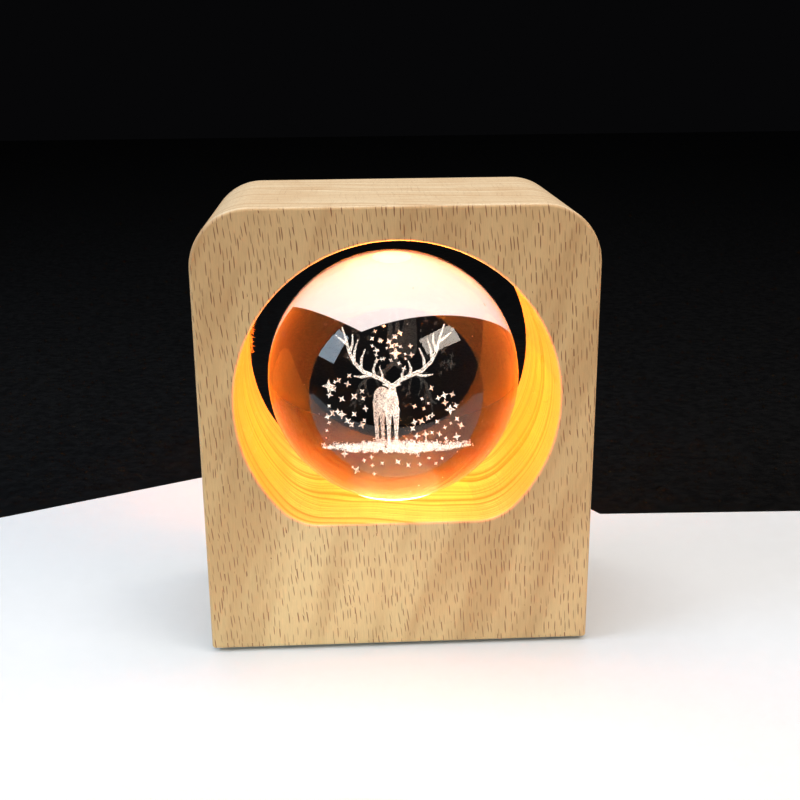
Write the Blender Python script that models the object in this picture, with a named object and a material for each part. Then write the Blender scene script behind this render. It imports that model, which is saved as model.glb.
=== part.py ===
"""Crystal ball lamp: an engraved glass ball that stands, lit from below, in a beech block.

The block has a round window with a flat floor, routed right through it. The ball rests on
a soft ring in that floor, over a light well. The underside is hollow and holds the lamp's
electrics: light board, battery, charging board, inlet and push switch, closed by a plate.

World frame: metres, +Z up, the ball looks out towards -Y, the back is +Y. The origin lies
on the table, below the middle of the block.
"""

import math

import bmesh
import bpy
from mathutils import Vector

MM = 0.001

# Clearances
SEAT_GAP = 0.3 * MM          # between two pieces that rest on or pass through each other
CUT_OVERRUN = 1.0 * MM       # how far a cutting shape runs past the face that it opens

# Glass ball and its seat
BALL_RADIUS = 30.0 * MM
BALL_SINK = 2.0 * MM               # the ball's lowest point below the window's floor
BALL_SEGMENTS = 56
BALL_RINGS = 28
SEAT_LIGHT_SLIT = 0.45 * MM        # slit round the ball's foot that lets light out
RING_WIDTH = 2.2 * MM
RING_LIP_HEIGHT = 2.0 * MM         # the soft ring's height at its inner lip
RING_LIP_STEPS = 4
DIFFUSER_THICKNESS = 1.5 * MM
SHOULDER_WIDTH = 2.2 * MM          # wooden shoulder that carries the diffuser
SHOULDER_THICKNESS = 3.9 * MM
SEAT_SEGMENTS = 48

# Round window through the block
BALL_SIDE_ROOM = 6.0 * MM          # between the ball's side and the window's wall
WINDOW_FLOOR_CUT = 7.6 * MM        # how much of the window's circle the flat floor takes away
FLOOR_CORNER_RADIUS = 12.0 * MM    # where the floor turns up into the wall
WINDOW_ARC_STEPS = 72
FLOOR_CORNER_STEPS = 8

# Beech block
WINDOW_SIDE_WALL = 8.0 * MM        # the least wood beside the window
WINDOW_TOP_WALL = 7.5 * MM         # the least wood above it
END_WALL = 13.0 * MM               # wood left at each end of the hollow underside
BACK_WALL = 7.0 * MM               # wood left in front of the hollow and behind it
BLOCK_CORNER_RADIUS = 13.0 * MM    # the two upper corners, round along the whole depth
ARRIS_RADIUS = 0.8 * MM            # the sanded edges, outside and round the window
ARRIS_STEPS = 2
BLOCK_CORNER_STEPS = 10
HOLLOW_CORNER_RADIUS = 5.0 * MM
HOLLOW_CORNER_STEPS = 5

# Base plate
PLATE_THICKNESS = 3.0 * MM
PLATE_END_LEDGE = 7.0 * MM         # how far the plate's rebate reaches past the hollow's ends
PLATE_SIDE_LEDGE = 3.5 * MM
FENCE_THICKNESS = 1.2 * MM         # rib on the plate that keeps the battery in place
FENCE_HEIGHT = 3.0 * MM
FENCE_CORNER_STEPS = 2

# Feet
FOOT_THICKNESS = 0.6 * MM
FOOT_RADIUS = 4.0 * MM
FOOT_INSET = 7.0 * MM              # a foot's centre, in from the plate's edges
FOOT_SEGMENTS = 28

# Screws
BASE_SCREW_SHANK_RADIUS = 1.1 * MM
BASE_SCREW_HEAD_RADIUS = 2.2 * MM
BASE_SCREW_HEAD_HEIGHT = 1.2 * MM
BASE_SCREW_LENGTH = 9.0 * MM
SMALL_SCREW_SHANK_RADIUS = 0.8 * MM
SMALL_SCREW_HEAD_RADIUS = 1.6 * MM
SMALL_SCREW_HEAD_HEIGHT = 1.1 * MM
SMALL_SCREW_LENGTH = 6.0 * MM      # under its head
SCREW_POINT_LENGTH = 1.5 * MM
SCREW_POINT_ROOM = 0.8 * MM        # depth left in a pilot hole beyond the screw's point
CROSS_SLOT_WIDTH = 0.5 * MM
CROSS_SLOT_DEPTH = 0.6 * MM
CROSS_LENGTH_SHARE = 1.3           # a slot's length as a share of the head's radius
SCREW_SEGMENTS = 16

# Light board with its lamps
LIGHT_BOARD_THICKNESS = 1.6 * MM
LIGHT_SCREW_WALL = 1.1 * MM        # wood between a screw's hole and the seat's bore
LIGHT_BOARD_MARGIN = 2.6 * MM      # from a screw's centre to the board's edge
LED_COUNT = 4
LED_PITCH_RADIUS = 4.6 * MM
LED_LENGTH = 3.5 * MM
LED_WIDTH = 2.8 * MM
LED_HEIGHT = 0.8 * MM
LED_RIM = 0.35 * MM
LED_CUP_DEPTH = 0.3 * MM

# Battery
BATTERY_LENGTH = 40.0 * MM
BATTERY_WIDTH = 18.0 * MM
BATTERY_HEIGHT = 7.0 * MM
BATTERY_EDGE_RADIUS = 2.5 * MM
BATTERY_EDGE_STEPS = 3
BATTERY_END_ROOM = 3.0 * MM        # between the battery's fence and the hollow's -X end
BATTERY_PAD_THICKNESS = 1.0 * MM
BATTERY_PAD_MARGIN = 2.0 * MM

# Charging board
BOARD_THICKNESS = 1.2 * MM
BOARD_CORNER_RADIUS = 1.0 * MM
BOARD_CORNER_STEPS = 3
BOARD_END_ROOM = 3.0 * MM          # between the board and the hollow's +X end
BOARD_BATTERY_ROOM = 0.8 * MM      # between the board and the battery's fence, seen from above
BOARD_SCREW_INSET = 2.8 * MM       # a screw's centre, in from the board's two nearest edges
BOARD_END_MARGIN = 0.93 * MM       # between the coil and the board's end
BOSS_RADIUS = 2.2 * MM
CHIP_LENGTH = 5.0 * MM
CHIP_WIDTH = 4.0 * MM
CHIP_HEIGHT = 1.5 * MM
CHIP_CHAMFER = 0.3 * MM
COIL_RADIUS = 2.5 * MM
COIL_HEIGHT = 3.0 * MM
COIL_NECK_SHARE = 0.8              # the coil's neck as a share of its flanges' radius
COIL_FLANGE_SHARE = 0.2            # one flange's height as a share of the coil's
PART_SIDE_ROOM = 1.6 * MM          # between the inlet and the chip or the coil
PART_SCREW_ROOM = 2.2 * MM         # between the coil and a screw's head
PART_BACK_INSET = 3.9 * MM         # chip and coil centres, in from the board's rear edge

# Charging inlet
INLET_WIDTH = 8.94 * MM
INLET_HEIGHT = 3.26 * MM
INLET_LENGTH = 7.3 * MM
INLET_WALL = 0.3 * MM
INLET_REAR_WALL = 0.5 * MM
INLET_ROUND_STEPS = 6
TONGUE_SIDE_ROOM = 0.82 * MM       # between the tongue's edge and the shell's inside
TONGUE_THICKNESS = 0.7 * MM
TONGUE_SETBACK = 0.8 * MM          # the tongue's end behind the inlet's mouth
TONGUE_ROOT_LENGTH = 1.5 * MM
PLUG_POCKET_MARGIN = 1.9 * MM      # room round the inlet for the plug's grip
PLUG_POCKET_DEPTH = 5.0 * MM

# Push switch
SWITCH_END_ROOM = 10.0 * MM        # between the switch's case and the hollow's -X end
SWITCH_TOP_ROOM = 1.7 * MM         # between the case and the light board, seen from the back
SOCKET_RISE = 1.4 * MM             # the inlet's and the switch's centres above the battery
NUT_POCKET_ROOM = 1.2 * MM         # round the washer
NUT_POCKET_DEPTH = 3.6 * MM
BARREL_SETBACK = 0.3 * MM          # the barrel's end behind the block's back
BUTTON_RADIUS = 2.4 * MM
BUTTON_REACH = 3.4 * MM            # how far the button stands out of the block's back
BUTTON_TRAVEL = 2.0 * MM
BUTTON_CROWN = 0.6 * MM
BUTTON_CROWN_STEPS = 4
BUTTON_FLANGE_WIDTH = 1.3 * MM
BUTTON_FLANGE_THICKNESS = 1.0 * MM
BARREL_WALL = 0.8 * MM
CASE_WALL = 1.0 * MM
CASE_BASE_THICKNESS = 1.5 * MM
WASHER_RIM = 1.6 * MM
WASHER_THICKNESS = 0.5 * MM
NUT_HEIGHT = 2.0 * MM
NUT_SIDES = 6
NUT_WALL = 0.7 * MM                # the nut's least wall, at the middle of a flat
NUT_CHAMFER = 0.4 * MM
THREAD_PITCH = 0.75 * MM
THREAD_DEPTH = 0.2 * MM
SPRING_PACKED_LENGTH = 2.1 * MM    # the spring's length when the button is pressed home
SPRING_TURNS = 4
SPRING_WIRE_RADIUS = 0.2 * MM
SPRING_STEPS_PER_TURN = 12
LUG_WIDTH = 1.6 * MM
LUG_THICKNESS = 0.5 * MM
LUG_LENGTH = 4.0 * MM
LUG_SPACING = 3.2 * MM
SWITCH_SEGMENTS = 24

# Insulated leads
LEAD_RADIUS = 0.55 * MM
LEAD_POINTS = 14
LEAD_SPACING = 2.4 * MM
LEAD_DIP = 2.6 * MM                # how far a switch lead runs out before it turns
LEAD_SWING = 6.2 * MM              # how far a battery lead runs out before it turns
LEAD_BEND_SHARE = 0.55             # a bend's pull as a share of the lead's run
LEAD_SIDE_RESOLUTION = 1

# Shading
SMOOTH_ANGLE = math.radians(35.0)
BEVEL_ANGLE = math.radians(50.0)

# Heights and radii of the switch, along its axis outwards from the block's back face
BARREL_BORE_RADIUS = BUTTON_RADIUS + SEAT_GAP
BARREL_RADIUS = BARREL_BORE_RADIUS + BARREL_WALL
BARREL_HOLE_RADIUS = BARREL_RADIUS + SEAT_GAP
BUTTON_FLANGE_RADIUS = BUTTON_RADIUS + BUTTON_FLANGE_WIDTH
CASE_BORE_RADIUS = BUTTON_FLANGE_RADIUS + SEAT_GAP
CASE_RADIUS = CASE_BORE_RADIUS + CASE_WALL
WASHER_RADIUS = BARREL_HOLE_RADIUS + WASHER_RIM
NUT_POCKET_RADIUS = WASHER_RADIUS + NUT_POCKET_ROOM
CASE_TOP = -BACK_WALL - SEAT_GAP
CASE_CHAMBER_TOP = CASE_TOP - CASE_WALL
BARREL_END = -BARREL_SETBACK
FLANGE_TOP = CASE_CHAMBER_TOP - SEAT_GAP
FLANGE_BASE = FLANGE_TOP - BUTTON_FLANGE_THICKNESS
CASE_BASE_TOP = FLANGE_BASE - BUTTON_TRAVEL - SPRING_PACKED_LENGTH - 2 * SEAT_GAP
CASE_END = CASE_BASE_TOP - CASE_BASE_THICKNESS

# The charging board is as large as what it carries
BOARD_LENGTH = INLET_WIDTH + 2 * (PART_SIDE_ROOM + 2 * COIL_RADIUS + BOARD_END_MARGIN)
BOARD_WIDTH = BOARD_SCREW_INSET + SMALL_SCREW_HEAD_RADIUS + PART_SCREW_ROOM + COIL_RADIUS + PART_BACK_INSET

# The hollow is as deep as the battery and the board need, and the block as wide as its window needs
FENCE_BORDER = FENCE_THICKNESS + SEAT_GAP
HOLLOW_DEPTH = BATTERY_WIDTH + 2 * FENCE_BORDER + BOARD_BATTERY_ROOM + BOARD_WIDTH + 4 * SEAT_GAP
HOLLOW_HALF_Y = HOLLOW_DEPTH / 2
BLOCK_BACK = HOLLOW_HALF_Y + BACK_WALL
WINDOW_RADIUS = BALL_RADIUS + BALL_SIDE_ROOM
WINDOW_CENTRE_RISE = WINDOW_RADIUS - WINDOW_FLOOR_CUT
BLOCK_HALF_X = WINDOW_RADIUS + WINDOW_SIDE_WALL
HOLLOW_HALF_X = BLOCK_HALF_X - END_WALL
REBATE_HALF_X = HOLLOW_HALF_X + PLATE_END_LEDGE
REBATE_HALF_Y = HOLLOW_HALF_Y + PLATE_SIDE_LEDGE
PLATE_HALF_X = REBATE_HALF_X - SEAT_GAP
PLATE_HALF_Y = REBATE_HALF_Y - SEAT_GAP
BASE_SCREW_X = HOLLOW_HALF_X + PLATE_END_LEDGE / 2
BASE_SCREW_Y = HOLLOW_HALF_Y - PLATE_SIDE_LEDGE

# Places in the hollow, seen from above
BATTERY_X = BATTERY_LENGTH / 2 + FENCE_BORDER + BATTERY_END_ROOM - HOLLOW_HALF_X
BATTERY_Y = BATTERY_WIDTH / 2 + FENCE_BORDER + 2 * SEAT_GAP - HOLLOW_HALF_Y
INLET_X = HOLLOW_HALF_X - BOARD_END_ROOM - BOARD_LENGTH / 2
SWITCH_X = CASE_RADIUS + SWITCH_END_ROOM - HOLLOW_HALF_X
BOARD_REAR_Y = HOLLOW_HALF_Y - 2 * SEAT_GAP
BOARD_CENTRE_Y = BOARD_REAR_Y - BOARD_WIDTH / 2
BOARD_FRONT_Y = BOARD_REAR_Y - BOARD_WIDTH
BOARD_SCREW_X = BOARD_LENGTH / 2 - BOARD_SCREW_INSET
BOARD_SCREW_Y = BOARD_FRONT_Y + BOARD_SCREW_INSET
PLUG_POCKET_FLOOR_Y = BLOCK_BACK - PLUG_POCKET_DEPTH
INLET_REAR_Y = PLUG_POCKET_FLOOR_Y - INLET_LENGTH

# Heights, from the table up
BLOCK_BASE = FOOT_THICKNESS + SEAT_GAP
PLATE_TOP_Z = BLOCK_BASE + PLATE_THICKNESS
BATTERY_PAD_Z = PLATE_TOP_Z + SEAT_GAP
BATTERY_BASE_Z = BATTERY_PAD_Z + BATTERY_PAD_THICKNESS + SEAT_GAP
SOCKET_Z = BATTERY_BASE_Z + BATTERY_HEIGHT + SOCKET_RISE
BOARD_TOP_Z = SOCKET_Z - INLET_HEIGHT / 2 - SEAT_GAP
BOARD_BASE_Z = BOARD_TOP_Z - BOARD_THICKNESS
LIGHT_BOARD_BASE_Z = SOCKET_Z + CASE_RADIUS + SWITCH_TOP_ROOM
LIGHT_BOARD_TOP_Z = LIGHT_BOARD_BASE_Z + LIGHT_BOARD_THICKNESS
CEILING_Z = LIGHT_BOARD_TOP_Z + SEAT_GAP
SHOULDER_Z = CEILING_Z + SHOULDER_THICKNESS
DIFFUSER_BASE_Z = SHOULDER_Z + SEAT_GAP
DIFFUSER_TOP_Z = DIFFUSER_BASE_Z + DIFFUSER_THICKNESS
RING_BASE_Z = DIFFUSER_TOP_Z + SEAT_GAP
RING_LIP_Z = RING_BASE_Z + RING_LIP_HEIGHT

# The ball touches the ring's lip, and the window's floor lies where the ball sinks into it
SEAT_BORE_RADIUS = math.sqrt(BALL_RADIUS**2 - (BALL_RADIUS - BALL_SINK) ** 2) + SEAT_LIGHT_SLIT
WELL_RADIUS = SEAT_BORE_RADIUS - SHOULDER_WIDTH
RING_OUTER_RADIUS = SEAT_BORE_RADIUS - SEAT_GAP
RING_INNER_RADIUS = RING_OUTER_RADIUS - RING_WIDTH
BALL_CENTRE_Z = RING_LIP_Z + math.sqrt((BALL_RADIUS + SEAT_GAP) ** 2 - RING_INNER_RADIUS**2)
FLOOR_Z = BALL_CENTRE_Z - BALL_RADIUS + BALL_SINK
WINDOW_CENTRE_Z = FLOOR_Z + WINDOW_CENTRE_RISE
BLOCK_TOP_Z = WINDOW_CENTRE_Z + WINDOW_RADIUS + WINDOW_TOP_WALL
LIGHT_SCREW_X = SEAT_BORE_RADIUS + LIGHT_SCREW_WALL + SMALL_SCREW_SHANK_RADIUS + SEAT_GAP
LIGHT_BOARD_RADIUS = LIGHT_SCREW_X + LIGHT_BOARD_MARGIN


def clear_scene():
    """Removes whatever the scene holds."""
    for obj in list(bpy.data.objects):
        bpy.data.objects.remove(obj, do_unlink=True)


def finish(name, colour, roughness, metallic=0.0, transmission=0.0, glow=0.0):
    """Returns a Principled material."""
    material = bpy.data.materials.new(name)
    material.use_nodes = True
    shader = material.node_tree.nodes["Principled BSDF"]
    shader.inputs["Base Color"].default_value = (*colour, 1.0)
    shader.inputs["Roughness"].default_value = roughness
    shader.inputs["Metallic"].default_value = metallic
    shader.inputs["Transmission Weight"].default_value = transmission
    shader.inputs["Emission Color"].default_value = (*colour, 1.0)
    shader.inputs["Emission Strength"].default_value = glow
    return material


def axis_empty(name, location, outwards=False, parent=None):
    """Returns an empty that pieces hang on; outwards turns its Z axis to the block's back."""
    empty = bpy.data.objects.new(name, None)
    empty.location = location
    if outwards:
        empty.rotation_euler = (-math.pi / 2, 0, 0)
    empty.parent = parent
    bpy.context.scene.collection.objects.link(empty)
    return empty


def object_from(name, source, material, parent=None, location=(0, 0, 0)):
    """Links a new object made from a bmesh or a mesh, shaded smooth up to a set angle."""
    if isinstance(source, bmesh.types.BMesh):
        bmesh.ops.recalc_face_normals(source, faces=source.faces[:])
        mesh = bpy.data.meshes.new(name)
        source.to_mesh(mesh)
        source.free()
        mesh.materials.append(material)
        mesh.shade_smooth()
        mesh.set_sharp_from_angle(angle=SMOOTH_ANGLE)
    else:
        mesh = source
    obj = bpy.data.objects.new(name, mesh)
    obj.parent = parent
    obj.location = location
    bpy.context.scene.collection.objects.link(obj)
    return obj


def arc(centre, radius, start, end, steps):
    """Returns the points of an arc, both ends included; angles in radians."""
    points = []
    for step in range(steps + 1):
        angle = start + (end - start) * step / steps
        points.append(Vector((centre[0] + radius * math.cos(angle), centre[1] + radius * math.sin(angle))))
    return points


def rounded_outline(half_x, half_y, radius, steps):
    """Returns a rectangle's outline with four round corners."""
    points = []
    corners = ((1, 1, 0), (-1, 1, 1), (-1, -1, 2), (1, -1, 3))
    for side_x, side_y, quarter in corners:
        centre = (side_x * (half_x - radius), side_y * (half_y - radius))
        start = quarter * math.pi / 2
        points += arc(centre, radius, start, start + math.pi / 2, steps)
    return points


def block_outline():
    """Returns the block's front view: square at the foot, round at the two upper corners."""
    top = BLOCK_TOP_Z - BLOCK_CORNER_RADIUS
    inner = BLOCK_HALF_X - BLOCK_CORNER_RADIUS
    points = [Vector((-BLOCK_HALF_X, BLOCK_BASE)), Vector((BLOCK_HALF_X, BLOCK_BASE))]
    points += arc((inner, top), BLOCK_CORNER_RADIUS, 0, math.pi / 2, BLOCK_CORNER_STEPS)
    points += arc((-inner, top), BLOCK_CORNER_RADIUS, math.pi / 2, math.pi, BLOCK_CORNER_STEPS)
    return points


def window_outline():
    """Returns the window's outline: a circle cut off by the floor, with filleted corners."""
    inner_radius = WINDOW_RADIUS - FLOOR_CORNER_RADIUS
    drop = WINDOW_CENTRE_RISE - FLOOR_CORNER_RADIUS
    offset = math.sqrt(inner_radius**2 - drop**2)
    lean = math.atan2(drop, offset)
    radius = FLOOR_CORNER_RADIUS
    height = FLOOR_Z + radius
    points = arc((0, WINDOW_CENTRE_Z), WINDOW_RADIUS, -lean, math.pi + lean, WINDOW_ARC_STEPS)
    points += arc((-offset, height), radius, math.pi + lean, math.pi * 1.5, FLOOR_CORNER_STEPS)[1:]
    points += arc((offset, height), radius, -math.pi / 2, -lean, FLOOR_CORNER_STEPS)[:-1]
    return points


def prism(outline, low, high, place):
    """Extrudes an outline from low to high; place turns (u, v, height) into a point."""
    bm = bmesh.new()
    ring = [bm.verts.new(place(point.x, point.y, low)) for point in outline]
    face = bm.faces.new(ring)
    grown = bmesh.ops.extrude_face_region(bm, geom=[face])
    moved = [item for item in grown["geom"] if isinstance(item, bmesh.types.BMVert)]
    shift = Vector(place(0, 0, high)) - Vector(place(0, 0, low))
    bmesh.ops.translate(bm, verts=moved, vec=shift)
    return bm


def upright(u, v, height):
    """Places an outline drawn from above."""
    return (u, v, height)


def through_depth(u, v, height):
    """Places an outline drawn from the front, with its height running to the back."""
    return (u, height, v)


def disc_profile(radius, low, high):
    """Returns the profile of a round disc, rod or hole."""
    return [(0, low), (radius, low), (radius, high), (0, high)]


def sleeve_profile(bore, radius, low, high):
    """Returns the profile of a ring or sleeve."""
    return [(bore, low), (radius, low), (radius, high), (bore, high)]


def turned(profile, segments):
    """Spins a profile of (radius, height) about Z; a profile that is off the axis closes on itself."""
    bm = bmesh.new()
    verts = [bm.verts.new((radius, 0, height)) for radius, height in profile]
    edges = [bm.edges.new(pair) for pair in zip(verts, verts[1:])]
    if profile[0][0] > 0:
        edges.append(bm.edges.new((verts[-1], verts[0])))
    bmesh.ops.spin(
        bm,
        geom=verts + edges,
        cent=(0, 0, 0),
        axis=(0, 0, 1),
        angle=2 * math.pi,
        steps=segments,
        use_merge=True,
    )
    bmesh.ops.remove_doubles(bm, verts=bm.verts[:], dist=SEAT_GAP / 1000)
    return bm


def box(size, centre):
    """Returns a box as a bmesh."""
    bm = bmesh.new()
    bmesh.ops.create_cube(bm, size=1)
    bmesh.ops.scale(bm, vec=size, verts=bm.verts[:])
    bmesh.ops.translate(bm, vec=centre, verts=bm.verts[:])
    return bm


def helper(name, source, parent=None, location=(0, 0, 0)):
    """Links a cutting or joining shape, which doesn't render."""
    obj = object_from(name, source, finish(name, (1, 0, 0), 1.0), parent, location)
    obj.hide_render = True
    obj.display_type = "WIRE"
    return obj


def combine(target, tool, operation="DIFFERENCE"):
    """Adds a Boolean modifier."""
    modifier = target.modifiers.new(f"{operation.lower()}_{tool.name}", "BOOLEAN")
    modifier.operation = operation
    modifier.object = tool


def bevel(target, width, segments, angle=BEVEL_ANGLE):
    """Adds a Bevel modifier on the sharp edges."""
    modifier = target.modifiers.new("arris", "BEVEL")
    modifier.width = width
    modifier.segments = segments
    modifier.limit_method = "ANGLE"
    modifier.angle_limit = angle


def baked_mesh(obj):
    """Returns an object's mesh with its modifiers applied, so that copies can share it."""
    graph = bpy.context.evaluated_depsgraph_get()
    graph.update()
    mesh = bpy.data.meshes.new_from_object(obj.evaluated_get(graph), depsgraph=graph)
    obj.modifiers.clear()
    obj.data = mesh
    return mesh


def rows_of(count_x, step_x, count_y, step_y):
    """Returns the places of a grid centred on zero."""
    places = []
    for row in range(count_y):
        for column in range(count_x):
            x = (column - (count_x - 1) / 2) * step_x
            y = (row - (count_y - 1) / 2) * step_y
            places.append((x, y))
    return places


def base_screw_places():
    """Returns where the base plate's four screws stand."""
    return rows_of(2, 2 * BASE_SCREW_X, 2, 2 * BASE_SCREW_Y)


def light_screw_places():
    """Returns where the light board's two screws stand."""
    return rows_of(2, 2 * LIGHT_SCREW_X, 1, 0)


def board_screw_places():
    """Returns where the charging board's two screws stand."""
    return [(INLET_X + x, BOARD_SCREW_Y) for x, _ in rows_of(2, 2 * BOARD_SCREW_X, 1, 0)]


def wood_block(parent):
    """Models the block with its window, light well, hollow, screw holes, plug pocket and switch hole."""
    beech = finish("beech", (0.62, 0.42, 0.23), 0.55)
    outline = block_outline()
    body = prism(outline, -BLOCK_BACK, BLOCK_BACK, through_depth)
    block = object_from("wood_block", body, beech, parent)
    reach = BLOCK_BACK + CUT_OVERRUN
    combine(block, helper("cut_window", prism(window_outline(), -reach, reach, through_depth)))
    bevel(block, ARRIS_RADIUS, ARRIS_STEPS)
    well = [
        (0, FLOOR_Z + CUT_OVERRUN),
        (SEAT_BORE_RADIUS, FLOOR_Z + CUT_OVERRUN),
        (SEAT_BORE_RADIUS, SHOULDER_Z),
        (WELL_RADIUS, SHOULDER_Z),
        (WELL_RADIUS, CEILING_Z - CUT_OVERRUN),
        (0, CEILING_Z - CUT_OVERRUN),
    ]
    combine(block, helper("cut_light_well", turned(well, SEAT_SEGMENTS)))
    below = BLOCK_BASE - CUT_OVERRUN
    rebate_top = PLATE_TOP_Z + SEAT_GAP
    hollow = rounded_outline(HOLLOW_HALF_X, HOLLOW_HALF_Y, HOLLOW_CORNER_RADIUS, HOLLOW_CORNER_STEPS)
    combine(block, helper("cut_hollow", prism(hollow, below, CEILING_Z, upright)))
    rebate = rounded_outline(REBATE_HALF_X, REBATE_HALF_Y, HOLLOW_CORNER_RADIUS, HOLLOW_CORNER_STEPS)
    combine(block, helper("cut_plate_rebate", prism(rebate, below, rebate_top, upright)))
    cut_pilot_holes(block, "cut_base_pilot", base_screw_places(), rebate_top, BASE_SCREW_SHANK_RADIUS,
                    BASE_SCREW_LENGTH - PLATE_THICKNESS)
    cut_pilot_holes(block, "cut_light_pilot", light_screw_places(), CEILING_Z, SMALL_SCREW_SHANK_RADIUS,
                    SMALL_SCREW_LENGTH - LIGHT_BOARD_THICKNESS)
    cut_plug_pocket(block)
    cut_switch_hole(block)
    return block


def cut_pilot_holes(target, name, places, mouth_z, shank_radius, depth):
    """Drills upward holes for wood screws."""
    bottom = mouth_z + depth + SCREW_POINT_ROOM
    profile = disc_profile(shank_radius + SEAT_GAP, mouth_z - CUT_OVERRUN, bottom)
    for index, (x, y) in enumerate(places, 1):
        combine(target, helper(f"{name}_{index}", turned(profile, SCREW_SEGMENTS), location=(x, y, 0)))


def slot_outline(width, height, steps):
    """Returns an outline with half-round ends, centred on zero."""
    radius = height / 2
    middle = width / 2 - radius
    points = arc((middle, 0), radius, -math.pi / 2, math.pi / 2, steps)
    points += arc((-middle, 0), radius, math.pi / 2, math.pi * 1.5, steps)
    return points


def at_inlet(outline):
    """Moves an outline drawn round zero to the inlet's centre, seen from the front."""
    return [point + Vector((INLET_X, SOCKET_Z)) for point in outline]


def cut_plug_pocket(target):
    """Cuts the pocket for the plug's grip, and the slot that the inlet looks out of."""
    margin = 2 * PLUG_POCKET_MARGIN
    pocket = at_inlet(slot_outline(INLET_WIDTH + margin, INLET_HEIGHT + margin, INLET_ROUND_STEPS))
    cutter = prism(pocket, PLUG_POCKET_FLOOR_Y, BLOCK_BACK + CUT_OVERRUN, through_depth)
    combine(target, helper("cut_plug_pocket", cutter))
    width = INLET_WIDTH + 2 * SEAT_GAP
    slot = at_inlet(slot_outline(width, INLET_HEIGHT + 2 * SEAT_GAP, INLET_ROUND_STEPS))
    cutter = prism(slot, HOLLOW_HALF_Y - CUT_OVERRUN, PLUG_POCKET_FLOOR_Y + CUT_OVERRUN, through_depth)
    combine(target, helper("cut_inlet_slot", cutter))


def cut_switch_hole(target):
    """Drills the switch's hole and the round pocket for its nut."""
    profile = [
        (0, CUT_OVERRUN),
        (NUT_POCKET_RADIUS, CUT_OVERRUN),
        (NUT_POCKET_RADIUS, -NUT_POCKET_DEPTH),
        (BARREL_HOLE_RADIUS, -NUT_POCKET_DEPTH),
        (BARREL_HOLE_RADIUS, -BACK_WALL - CUT_OVERRUN),
        (0, -BACK_WALL - CUT_OVERRUN),
    ]
    axis = axis_empty("switch_hole_axis", (SWITCH_X, BLOCK_BACK, SOCKET_Z), outwards=True)
    combine(target, helper("cut_switch_hole", turned(profile, SWITCH_SEGMENTS), axis))


def crystal_ball(parent):
    """Models the glass ball, with its origin at its centre, on the axis that it turns about."""
    glass = finish("crystal_glass", (0.96, 0.95, 0.93), 0.02, transmission=1.0)
    bm = bmesh.new()
    bmesh.ops.create_uvsphere(bm, u_segments=BALL_SEGMENTS, v_segments=BALL_RINGS, radius=BALL_RADIUS)
    return object_from("crystal_ball", bm, glass, parent, (0, 0, BALL_CENTRE_Z))


def ball_seat_ring(parent):
    """Models the soft ring, whose top follows the ball."""
    silicone = finish("clear_silicone", (0.90, 0.88, 0.80), 0.35, transmission=0.6)
    profile = [(RING_INNER_RADIUS, RING_BASE_Z)]
    for step in range(RING_LIP_STEPS + 1):
        radius = RING_INNER_RADIUS + RING_WIDTH * step / RING_LIP_STEPS
        profile.append((radius, BALL_CENTRE_Z - math.sqrt((BALL_RADIUS + SEAT_GAP) ** 2 - radius**2)))
    profile.append((RING_OUTER_RADIUS, RING_BASE_Z))
    return object_from("ball_seat_ring", turned(profile, SEAT_SEGMENTS), silicone, parent)


def light_diffuser(parent):
    """Models the frosted disc that lies on the wooden shoulder under the ring."""
    acrylic = finish("frosted_acrylic", (1.0, 0.86, 0.55), 0.5, transmission=0.4, glow=1.0)
    profile = disc_profile(SEAT_BORE_RADIUS - SEAT_GAP, DIFFUSER_BASE_Z, DIFFUSER_TOP_Z)
    return object_from("light_diffuser", turned(profile, SEAT_SEGMENTS), acrylic, parent)


def light_board(parent):
    """Models the round board under the well, its lamps and its two screws."""
    coating = finish("white_board", (0.86, 0.86, 0.84), 0.4)
    disc = disc_profile(LIGHT_BOARD_RADIUS, LIGHT_BOARD_BASE_Z, LIGHT_BOARD_TOP_Z)
    board = object_from("light_board", turned(disc, SEAT_SEGMENTS), coating, parent)
    bore = SMALL_SCREW_SHANK_RADIUS + SEAT_GAP
    low = LIGHT_BOARD_BASE_Z - CUT_OVERRUN
    high = LIGHT_BOARD_TOP_Z + CUT_OVERRUN
    for index, (x, y) in enumerate(light_screw_places(), 1):
        hole = turned(disc_profile(bore, low, high), SCREW_SEGMENTS)
        combine(board, helper(f"cut_light_board_{index}", hole, location=(x, y, 0)))
    led_chips(parent)
    mesh = screw_mesh("light_board_screw_1", SMALL_SCREW_SHANK_RADIUS, SMALL_SCREW_HEAD_RADIUS,
                      SMALL_SCREW_HEAD_HEIGHT, SMALL_SCREW_LENGTH, flat_head=False)
    seat = LIGHT_BOARD_BASE_Z - SEAT_GAP
    place_screws("light_board_screw", mesh, light_screw_places(), seat, parent, upward=True)


def led_chips(parent):
    """Models the surface-mounted lamps, each a white body with a sunk yellow cup."""
    phosphor = finish("led_phosphor", (1.0, 0.78, 0.30), 0.4, glow=2.0)
    base = LIGHT_BOARD_TOP_Z + SEAT_GAP
    bm = box((LED_LENGTH, LED_WIDTH, LED_HEIGHT), (0, 0, LED_HEIGHT / 2))
    top = max(bm.faces, key=lambda face: face.calc_center_median().z)
    bmesh.ops.inset_region(bm, faces=[top], thickness=LED_RIM)
    bmesh.ops.translate(bm, verts=top.verts[:], vec=(0, 0, -LED_CUP_DEPTH))
    mesh = None
    for index in range(LED_COUNT):
        angle = 2 * math.pi * (index + 0.5) / LED_COUNT
        place = (LED_PITCH_RADIUS * math.cos(angle), LED_PITCH_RADIUS * math.sin(angle), base)
        chip = object_from(f"led_chip_{index + 1}", mesh or bm, phosphor, parent, place)
        chip.rotation_euler = (0, 0, angle)
        mesh = chip.data


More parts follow.
